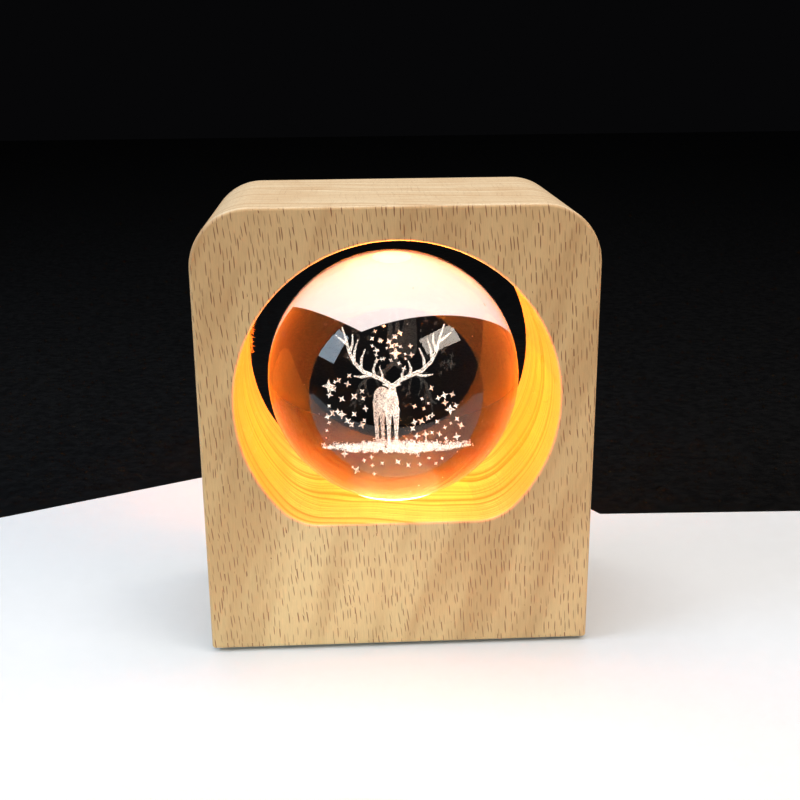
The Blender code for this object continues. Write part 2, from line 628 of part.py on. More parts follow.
def screw_mesh(name, shank_radius, head_radius, head_height, length, flat_head):
    """Makes a cross-head screw's mesh: its head's underside or flat top at zero, its point at +Z.

    A flat head's top lies at zero and its cone rises into the plate; a round head hangs below zero.
    """
    steel = finish("screw_steel", (0.62, 0.62, 0.62), 0.3, metallic=1.0)
    if flat_head:
        head = [(0, 0), (head_radius, 0), (shank_radius, head_height)]
        top = 0
    else:
        crown = head_radius / 2
        head = [(0, -head_height), (crown, -head_height), (head_radius, -head_height / 2), (head_radius, 0),
                (shank_radius, 0)]
        top = -head_height
    profile = head + [(shank_radius, length - SCREW_POINT_LENGTH), (0, length)]
    screw = object_from(name, turned(profile, SCREW_SEGMENTS), steel)
    reach = head_radius * CROSS_LENGTH_SHARE
    depth = CROSS_SLOT_DEPTH + CUT_OVERRUN
    middle = top + CROSS_SLOT_DEPTH - depth / 2
    for index, size in enumerate(((reach, CROSS_SLOT_WIDTH, depth), (CROSS_SLOT_WIDTH, reach, depth)), 1):
        combine(screw, helper(f"cut_{name}_{index}", box(size, (0, 0, middle))))
    mesh = baked_mesh(screw)
    bpy.data.objects.remove(screw)
    return mesh


def place_screws(stem, mesh, places, seat_z, parent, upward):
    """Sets one screw at each place, point up or point down."""
    for index, (x, y) in enumerate(places, 1):
        screw = object_from(f"{stem}_{index}", mesh, None, parent, (x, y, seat_z))
        if not upward:
            screw.rotation_euler = (math.pi, 0, 0)


def base_plate(parent):
    """Models the plate that closes the hollow, with its battery fence, bosses, screws and feet."""
    plastic = finish("black_plastic", (0.03, 0.03, 0.03), 0.5)
    radius = HOLLOW_CORNER_RADIUS - SEAT_GAP
    outline = rounded_outline(PLATE_HALF_X, PLATE_HALF_Y, radius, HOLLOW_CORNER_STEPS)
    plate = object_from("base_plate", prism(outline, BLOCK_BASE, PLATE_TOP_Z, upright), plastic, parent)
    add_battery_fence(plate)
    add_board_bosses(plate)
    cut_plate_holes(plate)
    mesh = screw_mesh("base_screw_1", BASE_SCREW_SHANK_RADIUS, BASE_SCREW_HEAD_RADIUS,
                      BASE_SCREW_HEAD_HEIGHT, BASE_SCREW_LENGTH, flat_head=True)
    place_screws("base_screw", mesh, base_screw_places(), BLOCK_BASE, parent, upward=True)
    foot_pads(parent)


def add_battery_fence(plate):
    """Joins the low rib round the battery to the plate."""
    inner_x = BATTERY_LENGTH / 2 + SEAT_GAP
    inner_y = BATTERY_WIDTH / 2 + SEAT_GAP
    low = PLATE_TOP_Z - PLATE_THICKNESS / 2
    outer_x = inner_x + FENCE_THICKNESS
    outer_y = inner_y + FENCE_THICKNESS
    outer = rounded_outline(outer_x, outer_y, FENCE_THICKNESS, FENCE_CORNER_STEPS)
    inner = rounded_outline(inner_x, inner_y, FENCE_THICKNESS / 2, FENCE_CORNER_STEPS)
    place = (BATTERY_X, BATTERY_Y, 0)
    top = PLATE_TOP_Z + FENCE_HEIGHT
    fence = helper("add_fence", prism(outer, low, top, upright), location=place)
    room = prism(inner, low - CUT_OVERRUN, top + CUT_OVERRUN, upright)
    combine(fence, helper("cut_fence_room", room, location=place))
    combine(plate, fence, "UNION")


def add_board_bosses(plate):
    """Joins the two bosses that carry the charging board to the plate, with their pilot holes."""
    low = PLATE_TOP_Z - PLATE_THICKNESS / 2
    high = BOARD_BASE_Z - SEAT_GAP
    bore = SMALL_SCREW_SHANK_RADIUS + SEAT_GAP
    floor = BOARD_TOP_Z + SEAT_GAP - SMALL_SCREW_LENGTH - SCREW_POINT_ROOM
    profile = [(0, low), (BOSS_RADIUS, low), (BOSS_RADIUS, high), (bore, high), (bore, floor), (0, floor)]
    for index, (x, y) in enumerate(board_screw_places(), 1):
        boss = helper(f"add_boss_{index}", turned(profile, SCREW_SEGMENTS), location=(x, y, 0))
        combine(plate, boss, "UNION")


def cut_plate_holes(plate):
    """Drills and countersinks the plate's four screw holes."""
    bore = BASE_SCREW_SHANK_RADIUS + SEAT_GAP
    mouth = BASE_SCREW_HEAD_RADIUS + SEAT_GAP
    top = PLATE_TOP_Z + CUT_OVERRUN
    slope = (BASE_SCREW_HEAD_RADIUS - BASE_SCREW_SHANK_RADIUS) / BASE_SCREW_HEAD_HEIGHT
    below = BLOCK_BASE - CUT_OVERRUN
    profile = [
        (0, below),
        (mouth + CUT_OVERRUN * slope, below),
        (bore, BLOCK_BASE + BASE_SCREW_HEAD_HEIGHT),
        (bore, top),
        (0, top),
    ]
    for index, (x, y) in enumerate(base_screw_places(), 1):
        combine(plate, helper(f"cut_plate_{index}", turned(profile, SCREW_SEGMENTS), location=(x, y, 0)))


def foot_pads(parent):
    """Models the four thin pads stuck under the plate."""
    foam = finish("foot_foam", (0.05, 0.05, 0.05), 0.9)
    reach_x = PLATE_HALF_X - FOOT_INSET - FOOT_RADIUS
    reach_y = PLATE_HALF_Y - FOOT_INSET
    mesh = turned(disc_profile(FOOT_RADIUS, 0, FOOT_THICKNESS), FOOT_SEGMENTS)
    for index, (x, y) in enumerate(rows_of(2, 2 * reach_x, 2, 2 * reach_y), 1):
        pad = object_from(f"foot_pad_{index}", mesh, foam, parent, (x, y, 0))
        mesh = pad.data


def battery(parent):
    """Models the flat rechargeable cell and the foam pad that holds it to the plate."""
    foil = finish("cell_foil", (0.55, 0.57, 0.60), 0.35, metallic=0.6)
    foam = finish("cell_pad", (0.12, 0.12, 0.12), 0.95)
    middle_z = BATTERY_BASE_Z + BATTERY_HEIGHT / 2
    cell = box((BATTERY_LENGTH, BATTERY_WIDTH, BATTERY_HEIGHT), (0, 0, 0))
    cell = object_from("battery_cell", cell, foil, parent, (BATTERY_X, BATTERY_Y, middle_z))
    bevel(cell, BATTERY_EDGE_RADIUS, BATTERY_EDGE_STEPS)
    length = BATTERY_LENGTH - 2 * BATTERY_PAD_MARGIN
    width = BATTERY_WIDTH - 2 * BATTERY_PAD_MARGIN
    pad = box((length, width, BATTERY_PAD_THICKNESS), (0, 0, BATTERY_PAD_THICKNESS / 2))
    object_from("battery_pad", pad, foam, parent, (BATTERY_X, BATTERY_Y, BATTERY_PAD_Z))


def charging_board(parent):
    """Models the charging board with its chip, coil and screws."""
    lacquer = finish("board_lacquer", (0.02, 0.16, 0.07), 0.35)
    outline = rounded_outline(BOARD_LENGTH / 2, BOARD_WIDTH / 2, BOARD_CORNER_RADIUS, BOARD_CORNER_STEPS)
    bm = prism(outline, BOARD_BASE_Z, BOARD_TOP_Z, upright)
    board = object_from("charging_board", bm, lacquer, parent, (INLET_X, BOARD_CENTRE_Y, 0))
    bore = SMALL_SCREW_SHANK_RADIUS + SEAT_GAP
    low = BOARD_BASE_Z - CUT_OVERRUN
    high = BOARD_TOP_Z + CUT_OVERRUN
    for index, (x, y) in enumerate(board_screw_places(), 1):
        hole = turned(disc_profile(bore, low, high), SCREW_SEGMENTS)
        combine(board, helper(f"cut_board_{index}", hole, location=(x, y, 0)))
    mesh = screw_mesh("board_screw_1", SMALL_SCREW_SHANK_RADIUS, SMALL_SCREW_HEAD_RADIUS,
                      SMALL_SCREW_HEAD_HEIGHT, SMALL_SCREW_LENGTH, flat_head=False)
    place_screws("board_screw", mesh, board_screw_places(), BOARD_TOP_Z + SEAT_GAP, parent, upward=False)
    board_parts(parent)


def board_parts(parent):
    """Models the charging chip and the coil that stand on the board."""
    resin = finish("chip_resin", (0.02, 0.02, 0.02), 0.4)
    ferrite = finish("coil_ferrite", (0.10, 0.10, 0.11), 0.6)
    seat = BOARD_TOP_Z + SEAT_GAP
    y = BOARD_REAR_Y - PART_BACK_INSET
    side = INLET_WIDTH / 2 + PART_SIDE_ROOM + COIL_RADIUS
    chip = box((CHIP_LENGTH, CHIP_WIDTH, CHIP_HEIGHT), (0, 0, CHIP_HEIGHT / 2))
    chip = object_from("charging_chip", chip, resin, parent, (INLET_X - side, y, seat))
    bevel(chip, CHIP_CHAMFER, 1)
    neck = COIL_RADIUS * COIL_NECK_SHARE
    flange = COIL_HEIGHT * COIL_FLANGE_SHARE
    profile = [
        (0, 0),
        (COIL_RADIUS, 0),
        (COIL_RADIUS, flange),
        (neck, flange),
        (neck, COIL_HEIGHT - flange),
        (COIL_RADIUS, COIL_HEIGHT - flange),
        (COIL_RADIUS, COIL_HEIGHT),
        (0, COIL_HEIGHT),
    ]
    place = (INLET_X + side, y, seat)
    object_from("power_coil", turned(profile, SCREW_SEGMENTS), ferrite, parent, place)


def charging_inlet(parent):
    """Models the inlet's drawn shell, open at its mouth, and the moulded tongue inside it."""
    tinned = finish("inlet_steel", (0.70, 0.70, 0.71), 0.25, metallic=1.0)
    moulding = finish("inlet_moulding", (0.04, 0.04, 0.04), 0.5)
    outline = at_inlet(slot_outline(INLET_WIDTH, INLET_HEIGHT, INLET_ROUND_STEPS))
    shell = prism(outline, INLET_REAR_Y, PLUG_POCKET_FLOOR_Y, through_depth)
    shell = object_from("inlet_shell", shell, tinned, parent)
    inner_width = INLET_WIDTH - 2 * INLET_WALL
    inner_height = INLET_HEIGHT - 2 * INLET_WALL
    inner = at_inlet(slot_outline(inner_width, inner_height, INLET_ROUND_STEPS))
    floor = INLET_REAR_Y + INLET_REAR_WALL
    cutter = prism(inner, floor, PLUG_POCKET_FLOOR_Y + CUT_OVERRUN, through_depth)
    combine(shell, helper("cut_inlet_room", cutter))
    root_width = inner_width - 2 * SEAT_GAP
    root = at_inlet(slot_outline(root_width, inner_height - 2 * SEAT_GAP, INLET_ROUND_STEPS))
    root_start = floor + SEAT_GAP
    root_end = root_start + TONGUE_ROOT_LENGTH
    tongue = prism(root, root_start, root_end, through_depth)
    tongue = object_from("inlet_tongue", tongue, moulding, parent)
    end = PLUG_POCKET_FLOOR_Y - TONGUE_SETBACK
    start = root_end - TONGUE_ROOT_LENGTH / 2
    width = inner_width - 2 * TONGUE_SIDE_ROOM
    blade = box((width, end - start, TONGUE_THICKNESS), (INLET_X, (start + end) / 2, SOCKET_Z))
    combine(tongue, helper("add_tongue_blade", blade), "UNION")


def push_switch(parent):
    """Models the push switch on its own axis, which points out of the block's back."""
    axis = axis_empty("switch_axis", (SWITCH_X, BLOCK_BACK, SOCKET_Z), outwards=True, parent=parent)
    black = finish("switch_plastic", (0.03, 0.03, 0.035), 0.35)
    nickel = finish("nickel", (0.68, 0.66, 0.62), 0.25, metallic=1.0)
    object_from("switch_case", turned(switch_case_profile(), SWITCH_SEGMENTS), black, axis)
    object_from("switch_button", turned(button_profile(), SWITCH_SEGMENTS), black, axis)
    base = disc_profile(CASE_BORE_RADIUS - SEAT_GAP, CASE_END, CASE_BASE_TOP)
    resin = finish("switch_resin", (0.35, 0.16, 0.06), 0.5)
    object_from("switch_base", turned(base, SWITCH_SEGMENTS), resin, axis)
    washer_base = SEAT_GAP - NUT_POCKET_DEPTH
    washer_top = washer_base + WASHER_THICKNESS
    washer = sleeve_profile(BARREL_HOLE_RADIUS, WASHER_RADIUS, washer_base, washer_top)
    object_from("switch_washer", turned(washer, SWITCH_SEGMENTS), nickel, axis)
    switch_nut(axis, nickel, washer_top + SEAT_GAP)
    switch_spring(axis)
    switch_lugs(axis)


def switch_case_profile():
    """Returns the case's closed profile: a stepped shell, its barrel threaded by ring grooves."""
    root = BARREL_RADIUS - THREAD_DEPTH
    profile = [
        (CASE_BORE_RADIUS, CASE_END),
        (CASE_RADIUS, CASE_END),
        (CASE_RADIUS, CASE_TOP),
        (BARREL_RADIUS, CASE_TOP),
    ]
    turns = int((BARREL_END - CASE_TOP) / THREAD_PITCH) - 1
    for turn in range(turns):
        height = CASE_TOP + THREAD_PITCH * (turn + 1)
        profile.append((BARREL_RADIUS, height - THREAD_PITCH / 4))
        profile.append((root, height))
        profile.append((BARREL_RADIUS, height + THREAD_PITCH / 4))
    profile += [
        (BARREL_RADIUS, BARREL_END),
        (BARREL_BORE_RADIUS, BARREL_END),
        (BARREL_BORE_RADIUS, CASE_CHAMBER_TOP),
        (CASE_BORE_RADIUS, CASE_CHAMBER_TOP),
    ]
    return profile


def button_profile():
    """Returns the button's profile: a flange that keeps it in, a stem and a crowned end."""
    profile = [(0, FLANGE_BASE), (BUTTON_FLANGE_RADIUS, FLANGE_BASE), (BUTTON_FLANGE_RADIUS, FLANGE_TOP)]
    profile.append((BUTTON_RADIUS, FLANGE_TOP))
    middle = (BUTTON_RADIUS - BUTTON_CROWN, BUTTON_REACH - BUTTON_CROWN)
    profile += [(p.x, p.y) for p in arc(middle, BUTTON_CROWN, 0, math.pi / 2, BUTTON_CROWN_STEPS)]
    profile.append((0, BUTTON_REACH))
    return profile


def switch_nut(axis, material, base):
    """Models the hexagon nut, chamfered by a turned cutter."""
    flat = BARREL_HOLE_RADIUS + NUT_WALL
    corner = flat / math.cos(math.pi / NUT_SIDES)
    outline = arc((0, 0), corner, 0, 2 * math.pi, NUT_SIDES)[:-1]
    nut = object_from("switch_nut", prism(outline, base, base + NUT_HEIGHT, upright), material, axis)
    high = base + NUT_HEIGHT
    above = high + CUT_OVERRUN
    hole = turned(disc_profile(BARREL_HOLE_RADIUS, base - CUT_OVERRUN, above), SWITCH_SEGMENTS)
    combine(nut, helper("cut_nut_bore", hole, axis))
    outer = corner + CUT_OVERRUN
    shoulder = high - NUT_CHAMFER
    rim = [(flat, above), (flat, high), (corner, shoulder), (outer, shoulder), (outer, above)]
    combine(nut, helper("cut_nut_chamfer", turned(rim, SWITCH_SEGMENTS), axis))


def switch_spring(axis):
    """Models the coil spring between the switch's base and the button, as one tube with filled ends."""
    steel = finish("spring_steel", (0.60, 0.60, 0.62), 0.3, metallic=1.0)
    low = CASE_BASE_TOP + SEAT_GAP + SPRING_WIRE_RADIUS
    high = FLANGE_BASE - SEAT_GAP - SPRING_WIRE_RADIUS
    radius = BUTTON_RADIUS - SPRING_WIRE_RADIUS
    steps = SPRING_TURNS * SPRING_STEPS_PER_TURN
    points = []
    for step in range(steps + 1):
        angle = 2 * math.pi * step / SPRING_STEPS_PER_TURN
        height = low + (high - low) * step / steps
        points.append(Vector((radius * math.cos(angle), radius * math.sin(angle), height)))
    spring = tube("switch_spring", points, SPRING_WIRE_RADIUS, steel)
    spring.parent = axis


def switch_lugs(axis):
    """Models the two solder lugs behind the switch's base."""
    tinned = finish("lug_brass", (0.70, 0.58, 0.30), 0.35, metallic=1.0)
    top = CASE_END - SEAT_GAP
    mesh = box((LUG_THICKNESS, LUG_WIDTH, LUG_LENGTH), (0, 0, -LUG_LENGTH / 2))
    for index, (x, _) in enumerate(rows_of(2, LUG_SPACING, 1, 0), 1):
        lug = object_from(f"switch_lug_{index}", mesh, tinned, axis, (x, 0, top))
        mesh = lug.data


def tube(name, points, radius, material):
    """Returns a round wire along points, with filled ends."""
    curve = bpy.data.curves.new(name, "CURVE")
    curve.dimensions = "3D"
    curve.bevel_depth = radius
    curve.bevel_resolution = LEAD_SIDE_RESOLUTION
    curve.use_fill_caps = True
    spline = curve.splines.new("POLY")
    spline.points.add(len(points) - 1)
    for target, point in zip(spline.points, points):
        target.co = (*point, 1.0)
    curve.materials.append(material)
    wire = bpy.data.objects.new(name, curve)
    bpy.context.scene.collection.objects.link(wire)
    return wire


def lead(name, start, leaving, end, arriving, material, parent):
    """Runs an insulated lead on one smooth curve; leaving and arriving set its ways and its bends."""
    start = Vector(start)
    end = Vector(end)
    first = start + Vector(leaving)
    last = end - Vector(arriving)
    points = []
    for step in range(LEAD_POINTS):
        t = step / (LEAD_POINTS - 1)
        s = 1 - t
        points.append(start * s**3 + first * (3 * s * s * t) + last * (3 * s * t * t) + end * t**3)
    wire = tube(name, points, LEAD_RADIUS, material)
    wire.parent = parent


def battery_lead(name, shift, material, parent):
    """Runs one lead from the battery's end round to the charging board's front edge."""
    start_x = BATTERY_X + BATTERY_LENGTH / 2 + SEAT_GAP
    start = Vector((start_x, BATTERY_Y + shift, BATTERY_BASE_Z + BATTERY_HEIGHT / 2))
    end_x = INLET_X + BOARD_SCREW_X - shift
    end = Vector((end_x, BOARD_FRONT_Y - SEAT_GAP, BOARD_TOP_Z - BOARD_THICKNESS / 2))
    run = (end.y - start.y) * LEAD_BEND_SHARE
    lead(name, start, (LEAD_SWING - shift, 0, 0), end, (0, run, 0), material, parent)


def light_lead(name, shift, material, parent):
    """Drops one lead from the light board to the top of the charging board."""
    start_y = BOARD_SCREW_Y + shift
    start = Vector((LIGHT_SCREW_X / 2, start_y, LIGHT_BOARD_BASE_Z - SEAT_GAP))
    end_x = INLET_X - BOARD_SCREW_X / 2
    end = Vector((end_x, start_y + LEAD_SPACING, BOARD_TOP_Z + SEAT_GAP))
    fall = (0, 0, (end.z - start.z) * LEAD_BEND_SHARE)
    lead(name, start, fall, end, fall, material, parent)


def switch_lead(name, side, shift, material, parent):
    """Runs one lead from a switch lug round to the charging board's left edge."""
    lug_end = BLOCK_BACK + CASE_END - 2 * SEAT_GAP - LUG_LENGTH
    start = Vector((SWITCH_X + side * LUG_SPACING / 2, lug_end, SOCKET_Z))
    end_x = INLET_X - BOARD_LENGTH / 2 - SEAT_GAP
    end = Vector((end_x, BOARD_SCREW_Y + shift, BOARD_TOP_Z - BOARD_THICKNESS / 2))
    reach = (end.x - start.x) * LEAD_BEND_SHARE
    lead(name, start, (0, LEAD_DIP * (side - 2), 0), end, (reach, 0, 0), material, parent)


def leads(parent):
    """Runs the leads from the battery, the light board and the switch to the charging board."""
    red = finish("red_insulation", (0.60, 0.03, 0.03), 0.45)
    black = finish("black_insulation", (0.02, 0.02, 0.02), 0.45)
    for side, colour, word in ((-1, red, "red"), (1, black, "black")):
        shift = side * LEAD_SPACING / 2
        battery_lead(f"battery_lead_{word}", shift, colour, parent)
        light_lead(f"light_lead_{word}", shift, colour, parent)
        switch_lead(f"switch_lead_{word}", side, shift, colour, parent)


def main():
    """Builds the lamp."""
    clear_scene()
    lamp = axis_empty("crystal_ball_lamp", (0, 0, 0))
    wood_block(lamp)
    crystal_ball(lamp)
    ball_seat_ring(lamp)
    light_diffuser(lamp)
    light_board(lamp)
    base_plate(lamp)
    battery(lamp)
    charging_board(lamp)
    charging_inlet(lamp)
    push_switch(lamp)
    leads(lamp)


main()
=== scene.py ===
"""Dresses the crystal ball lamp: a beech block, an engraved glass ball and the light under it.

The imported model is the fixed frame, in metres: +Z up, the ball looks out towards -Y, and the inlet
and the push switch are at the back, +Y. Each class below builds and dresses one sub-assembly.
"""

import logging
import math
import random
from collections.abc import Callable, Iterable, Sequence
from dataclasses import dataclass
from enum import Enum

import bmesh
import bpy
from mathutils import Euler, Matrix, Vector

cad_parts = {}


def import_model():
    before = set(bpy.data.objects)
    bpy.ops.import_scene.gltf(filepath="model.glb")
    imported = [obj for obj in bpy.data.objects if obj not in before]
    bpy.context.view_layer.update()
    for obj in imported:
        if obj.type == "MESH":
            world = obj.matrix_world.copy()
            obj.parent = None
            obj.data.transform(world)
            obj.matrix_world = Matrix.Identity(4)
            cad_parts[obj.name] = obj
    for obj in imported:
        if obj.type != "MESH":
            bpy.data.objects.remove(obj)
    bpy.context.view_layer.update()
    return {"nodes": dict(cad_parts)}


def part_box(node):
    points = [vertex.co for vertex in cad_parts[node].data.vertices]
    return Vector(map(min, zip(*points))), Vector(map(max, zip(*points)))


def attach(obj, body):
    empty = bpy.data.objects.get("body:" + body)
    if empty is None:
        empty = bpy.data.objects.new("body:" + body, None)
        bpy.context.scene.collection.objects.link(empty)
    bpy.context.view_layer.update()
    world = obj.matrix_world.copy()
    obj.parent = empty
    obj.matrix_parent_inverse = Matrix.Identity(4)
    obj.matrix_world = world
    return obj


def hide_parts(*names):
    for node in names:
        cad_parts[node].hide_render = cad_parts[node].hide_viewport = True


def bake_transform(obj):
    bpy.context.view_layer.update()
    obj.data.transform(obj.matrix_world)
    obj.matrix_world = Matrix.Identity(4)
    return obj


MM = 0.001
SMOOTH_ANGLE = math.radians(35.0)
WELD = 1e-7

Colour = tuple[float, float, float]
Point = tuple[float, float, float]
Profile = Sequence[tuple[float, float]]
Value = float | Sequence[float] | bpy.types.NodeSocket
Sockets = bpy.types.bpy_prop_collection

log = logging.getLogger("crystal_ball_lamp")


class Body(Enum):
    """The rigid bodies that a piece can ride on."""

    BLOCK = "block"
    SEAT = "seat"
    BALL = "ball"
    BUTTON = "button"


class Facing(Enum):
    """The way a turned piece's axis points."""

    UP = "up"
    BACK = "back"


# Node trees


class Graph:
    """Adds nodes to one shader or geometry tree and wires them."""

    def __init__(self, tree: bpy.types.NodeTree) -> None:
        """Takes the tree.

        Args:
            tree: The node tree to fill.
        """
        self.tree = tree

    def put(self, kind: str, inputs: dict[str | int, Value] | None = None,
            **settings: object) -> bpy.types.Node:
        """Adds one node.

        Args:
            kind: The node's type name.
            inputs: Values or sockets, by input name or number.
            **settings: The node's own settings.

        Returns:
            The new node.
        """
        node = self.tree.nodes.new(kind)
        for name, value in settings.items():
            setattr(node, name, value)
        for key, value in (inputs or {}).items():
            self.feed(node.inputs[key], value)
        return node

    def feed(self, socket: bpy.types.NodeSocket, value: Value) -> None:
        """Sets or links one input socket.

        Args:
            socket: The input.
            value: A number, a tuple or an output socket.
        """
        if isinstance(value, bpy.types.NodeSocket):
            self.tree.links.new(value, socket)
        else:
            socket.default_value = value

    def math(self, operation: str, *values: Value) -> bpy.types.NodeSocket:
        """Adds a Math node.

        Args:
            operation: Its operation.
            *values: Its inputs.

        Returns:
            The result.
        """
        return self.put("ShaderNodeMath", dict(enumerate(values)), operation=operation).outputs[0]

    def times(self, first: Value, second: Value) -> bpy.types.NodeSocket:
        """Returns the product of two values."""
        return self.math("MULTIPLY", first, second)

    def plus(self, first: Value, second: Value) -> bpy.types.NodeSocket:
        """Returns the sum of two values."""
        return self.math("ADD", first, second)

    def minus(self, first: Value, second: Value) -> bpy.types.NodeSocket:
        """Returns the first value less the second."""
        return self.math("SUBTRACT", first, second)

    def axes(self, vector: Value) -> bpy.types.bpy_prop_collection:
        """Returns a vector's X, Y and Z as three outputs."""
        return self.put("ShaderNodeSeparateXYZ", {0: vector}).outputs

    def vector(self, x: Value, y: Value, z: Value) -> bpy.types.NodeSocket:
        """Returns a vector made of three values."""
        return self.put("ShaderNodeCombineXYZ", {0: x, 1: y, 2: z}).outputs[0]

    def length(self, vector: Value) -> bpy.types.NodeSocket:
        """Returns a vector's length."""
        return self.put("ShaderNodeVectorMath", {0: vector}, operation="LENGTH").outputs["Value"]

    def scaled(self, vector: Value, factor: Value) -> bpy.types.NodeSocket:
        """Returns a vector times one factor."""
        return self.put("ShaderNodeVectorMath", {0: vector, 3: factor}, operation="SCALE").outputs[0]

    def span(self, value: Value, low: float, high: float, start: float = 0.0,
             end: float = 1.0) -> bpy.types.NodeSocket:
        """Maps a range of values smoothly onto another.

        Args:
            value: What to map.
            low: Gives start.
            high: Gives end.
            start: The result at low.
            end: The result at high.

        Returns:
            The mapped value.
        """
        inputs = {"Value": value, "From Min": low, "From Max": high, "To Min": start, "To Max": end}
        return self.put("ShaderNodeMapRange", inputs, interpolation_type="SMOOTHSTEP").outputs[0]

    def mix(self, share: Value, first: Value, second: Value, blend: str = "MIX") -> bpy.types.NodeSocket:
        """Mixes two colours.

        Args:
            share: How much of the second.
            first: The first colour.
            second: The second colour.
            blend: The blend mode.

        Returns:
            The mixed colour.
        """
        inputs = {0: share, 6: tinted(first), 7: tinted(second)}
        return self.put("ShaderNodeMix", inputs, data_type="RGBA", blend_type=blend).outputs[2]

    def stretched(self, vector: Value, scale: Point) -> bpy.types.NodeSocket:
        """Multiplies a vector by a scale for each axis.

        Args:
            vector: The vector.
            scale: The three factors.

        Returns:
            The scaled vector.
        """
        return self.put("ShaderNodeVectorMath", {0: vector, 1: scale}, operation="MULTIPLY").outputs[0]

    def noise(self, vector: Value, scale: float, detail: float = 2.0,
              rough: float = 0.5) -> bpy.types.NodeSocket:
        """Adds a noise texture.

        Args:
            vector: Where it is read.
            scale: Its frequency.
            detail: Its octaves.
            rough: Their weight.

        Returns:
            The noise value, about 0.5 on average.
        """
        inputs = {"Vector": vector, "Scale": scale, "Detail": detail, "Roughness": rough}
        return self.put("ShaderNodeTexNoise", inputs).outputs[0]

    def bump(self, height: Value, depth: float) -> bpy.types.NodeSocket:
        """Turns a height into a normal.

        Args:
            height: The height, 0 to 1.
            depth: The relief in metres.

        Returns:
            The normal.
        """
        return self.put("ShaderNodeBump", {"Height": height, "Distance": depth, "Strength": 1.0}).outputs[0]


def tinted(value: Value) -> Value:
    """Returns a colour of three numbers with its fourth, and anything else as it is."""
    if isinstance(value, tuple) and len(value) == 3:
        return (*value, 1.0)
    return value


def shader_group(name: str, inputs: dict[str, tuple[str, float]], outputs: dict[str, str],
                 fill: Callable[[Graph, bpy.types.Node], dict[str, Value]]) -> bpy.types.NodeTree:
    """Makes a shader node group once.

    Args:
        name: Its name.
        inputs: Socket kind and default, by name.
        outputs: Socket kind, by name.
        fill: Builds the nodes from the group's input node and returns the outputs' values.

    Returns:
        The group's tree.
    """
    found = bpy.data.node_groups.get(name)
    if found:
        return found
    tree = bpy.data.node_groups.new(name, "ShaderNodeTree")
    for label, (kind, default) in inputs.items():
        socket = tree.interface.new_socket(label, in_out="INPUT", socket_type=kind)
        if kind == "NodeSocketFloat":
            socket.default_value = default
    for label, kind in outputs.items():
        tree.interface.new_socket(label, in_out="OUTPUT", socket_type=kind)
    graph = Graph(tree)
    entry = graph.put("NodeGroupInput")
    graph.put("NodeGroupOutput", fill(graph, entry))
    return tree


def fine_grain_group() -> bpy.types.NodeTree:
    """Returns the group that gives moulded and plated surfaces their fine unevenness."""

    def fill(graph: Graph, entry: bpy.types.Node) -> dict[str, Value]:
        """Builds a cloudy tone, fine scratches and a fine height."""
        spot = graph.scaled(entry.outputs["Position"], entry.outputs["Density"])
        cloud = graph.noise(spot, 0.12, 3.0)
        pits = graph.noise(spot, 1.0, 4.0, 0.6)
        scratch = graph.noise(graph.stretched(spot, (0.15, 2.2, 0.15)), 0.8, 2.0)
        tone = graph.plus(graph.times(cloud, 0.65), graph.times(pits, 0.35))
        worn = graph.plus(graph.times(scratch, 0.5), graph.times(cloud, 0.5))
        return {"Tone": tone, "Wear": worn, "Height": pits}

    inputs = {"Position": ("NodeSocketVector", 0.0), "Density": ("NodeSocketFloat", 2000.0)}
    outputs = {"Tone": "NodeSocketFloat", "Wear": "NodeSocketFloat", "Height": "NodeSocketFloat"}
    return shader_group("fine_grain", inputs, outputs, fill)


# The figure of beech, in millimetres: each triple runs across the front, into the depth, and up

RING_DRIFT = 17.0                   # how far the growth rings wander into the depth
RING_SLOPE = 0.10                   # how much deeper they lie for each millimetre across
BAND_SLOPE = -0.34                  # how much the broad bands lean away from the fibres
FLECK_SLOPE = 0.06                  # how much the flecks lean
FLECK_SWAY = (3.0, 1.6, 1.6)        # how far a slow noise carries them off their rows
FLECK_ROOM = (1.12, 9.0, 3.6)       # the cell that holds one fleck
FLECK_HALF = (0.128, 2.5, 0.50)     # its half sizes, as shares of that cell


def growth_rings(graph: Graph, spot: Value) -> bpy.types.NodeSocket:
    """Returns the growth rings, which lie across Y and drift slowly.

    Args:
        graph: The group's graph.
        spot: The position in millimetres.

    Returns:
        0 in early wood, 1 in late wood.
    """
    axes = graph.axes(spot)
    drift = graph.noise(graph.stretched(spot, (0.022, 0.030, 0.0045)), 1.0)
    depth = graph.plus(axes[1], graph.times(graph.minus(drift, 0.5), RING_DRIFT))
    depth = graph.plus(depth, graph.times(axes[0], RING_SLOPE))
    rings = graph.put("ShaderNodeTexNoise", {"W": depth, "Scale": 0.42, "Detail": 2.5, "Roughness": 0.62},
                      noise_dimensions="1D").outputs[0]
    return graph.span(rings, 0.30, 0.72)


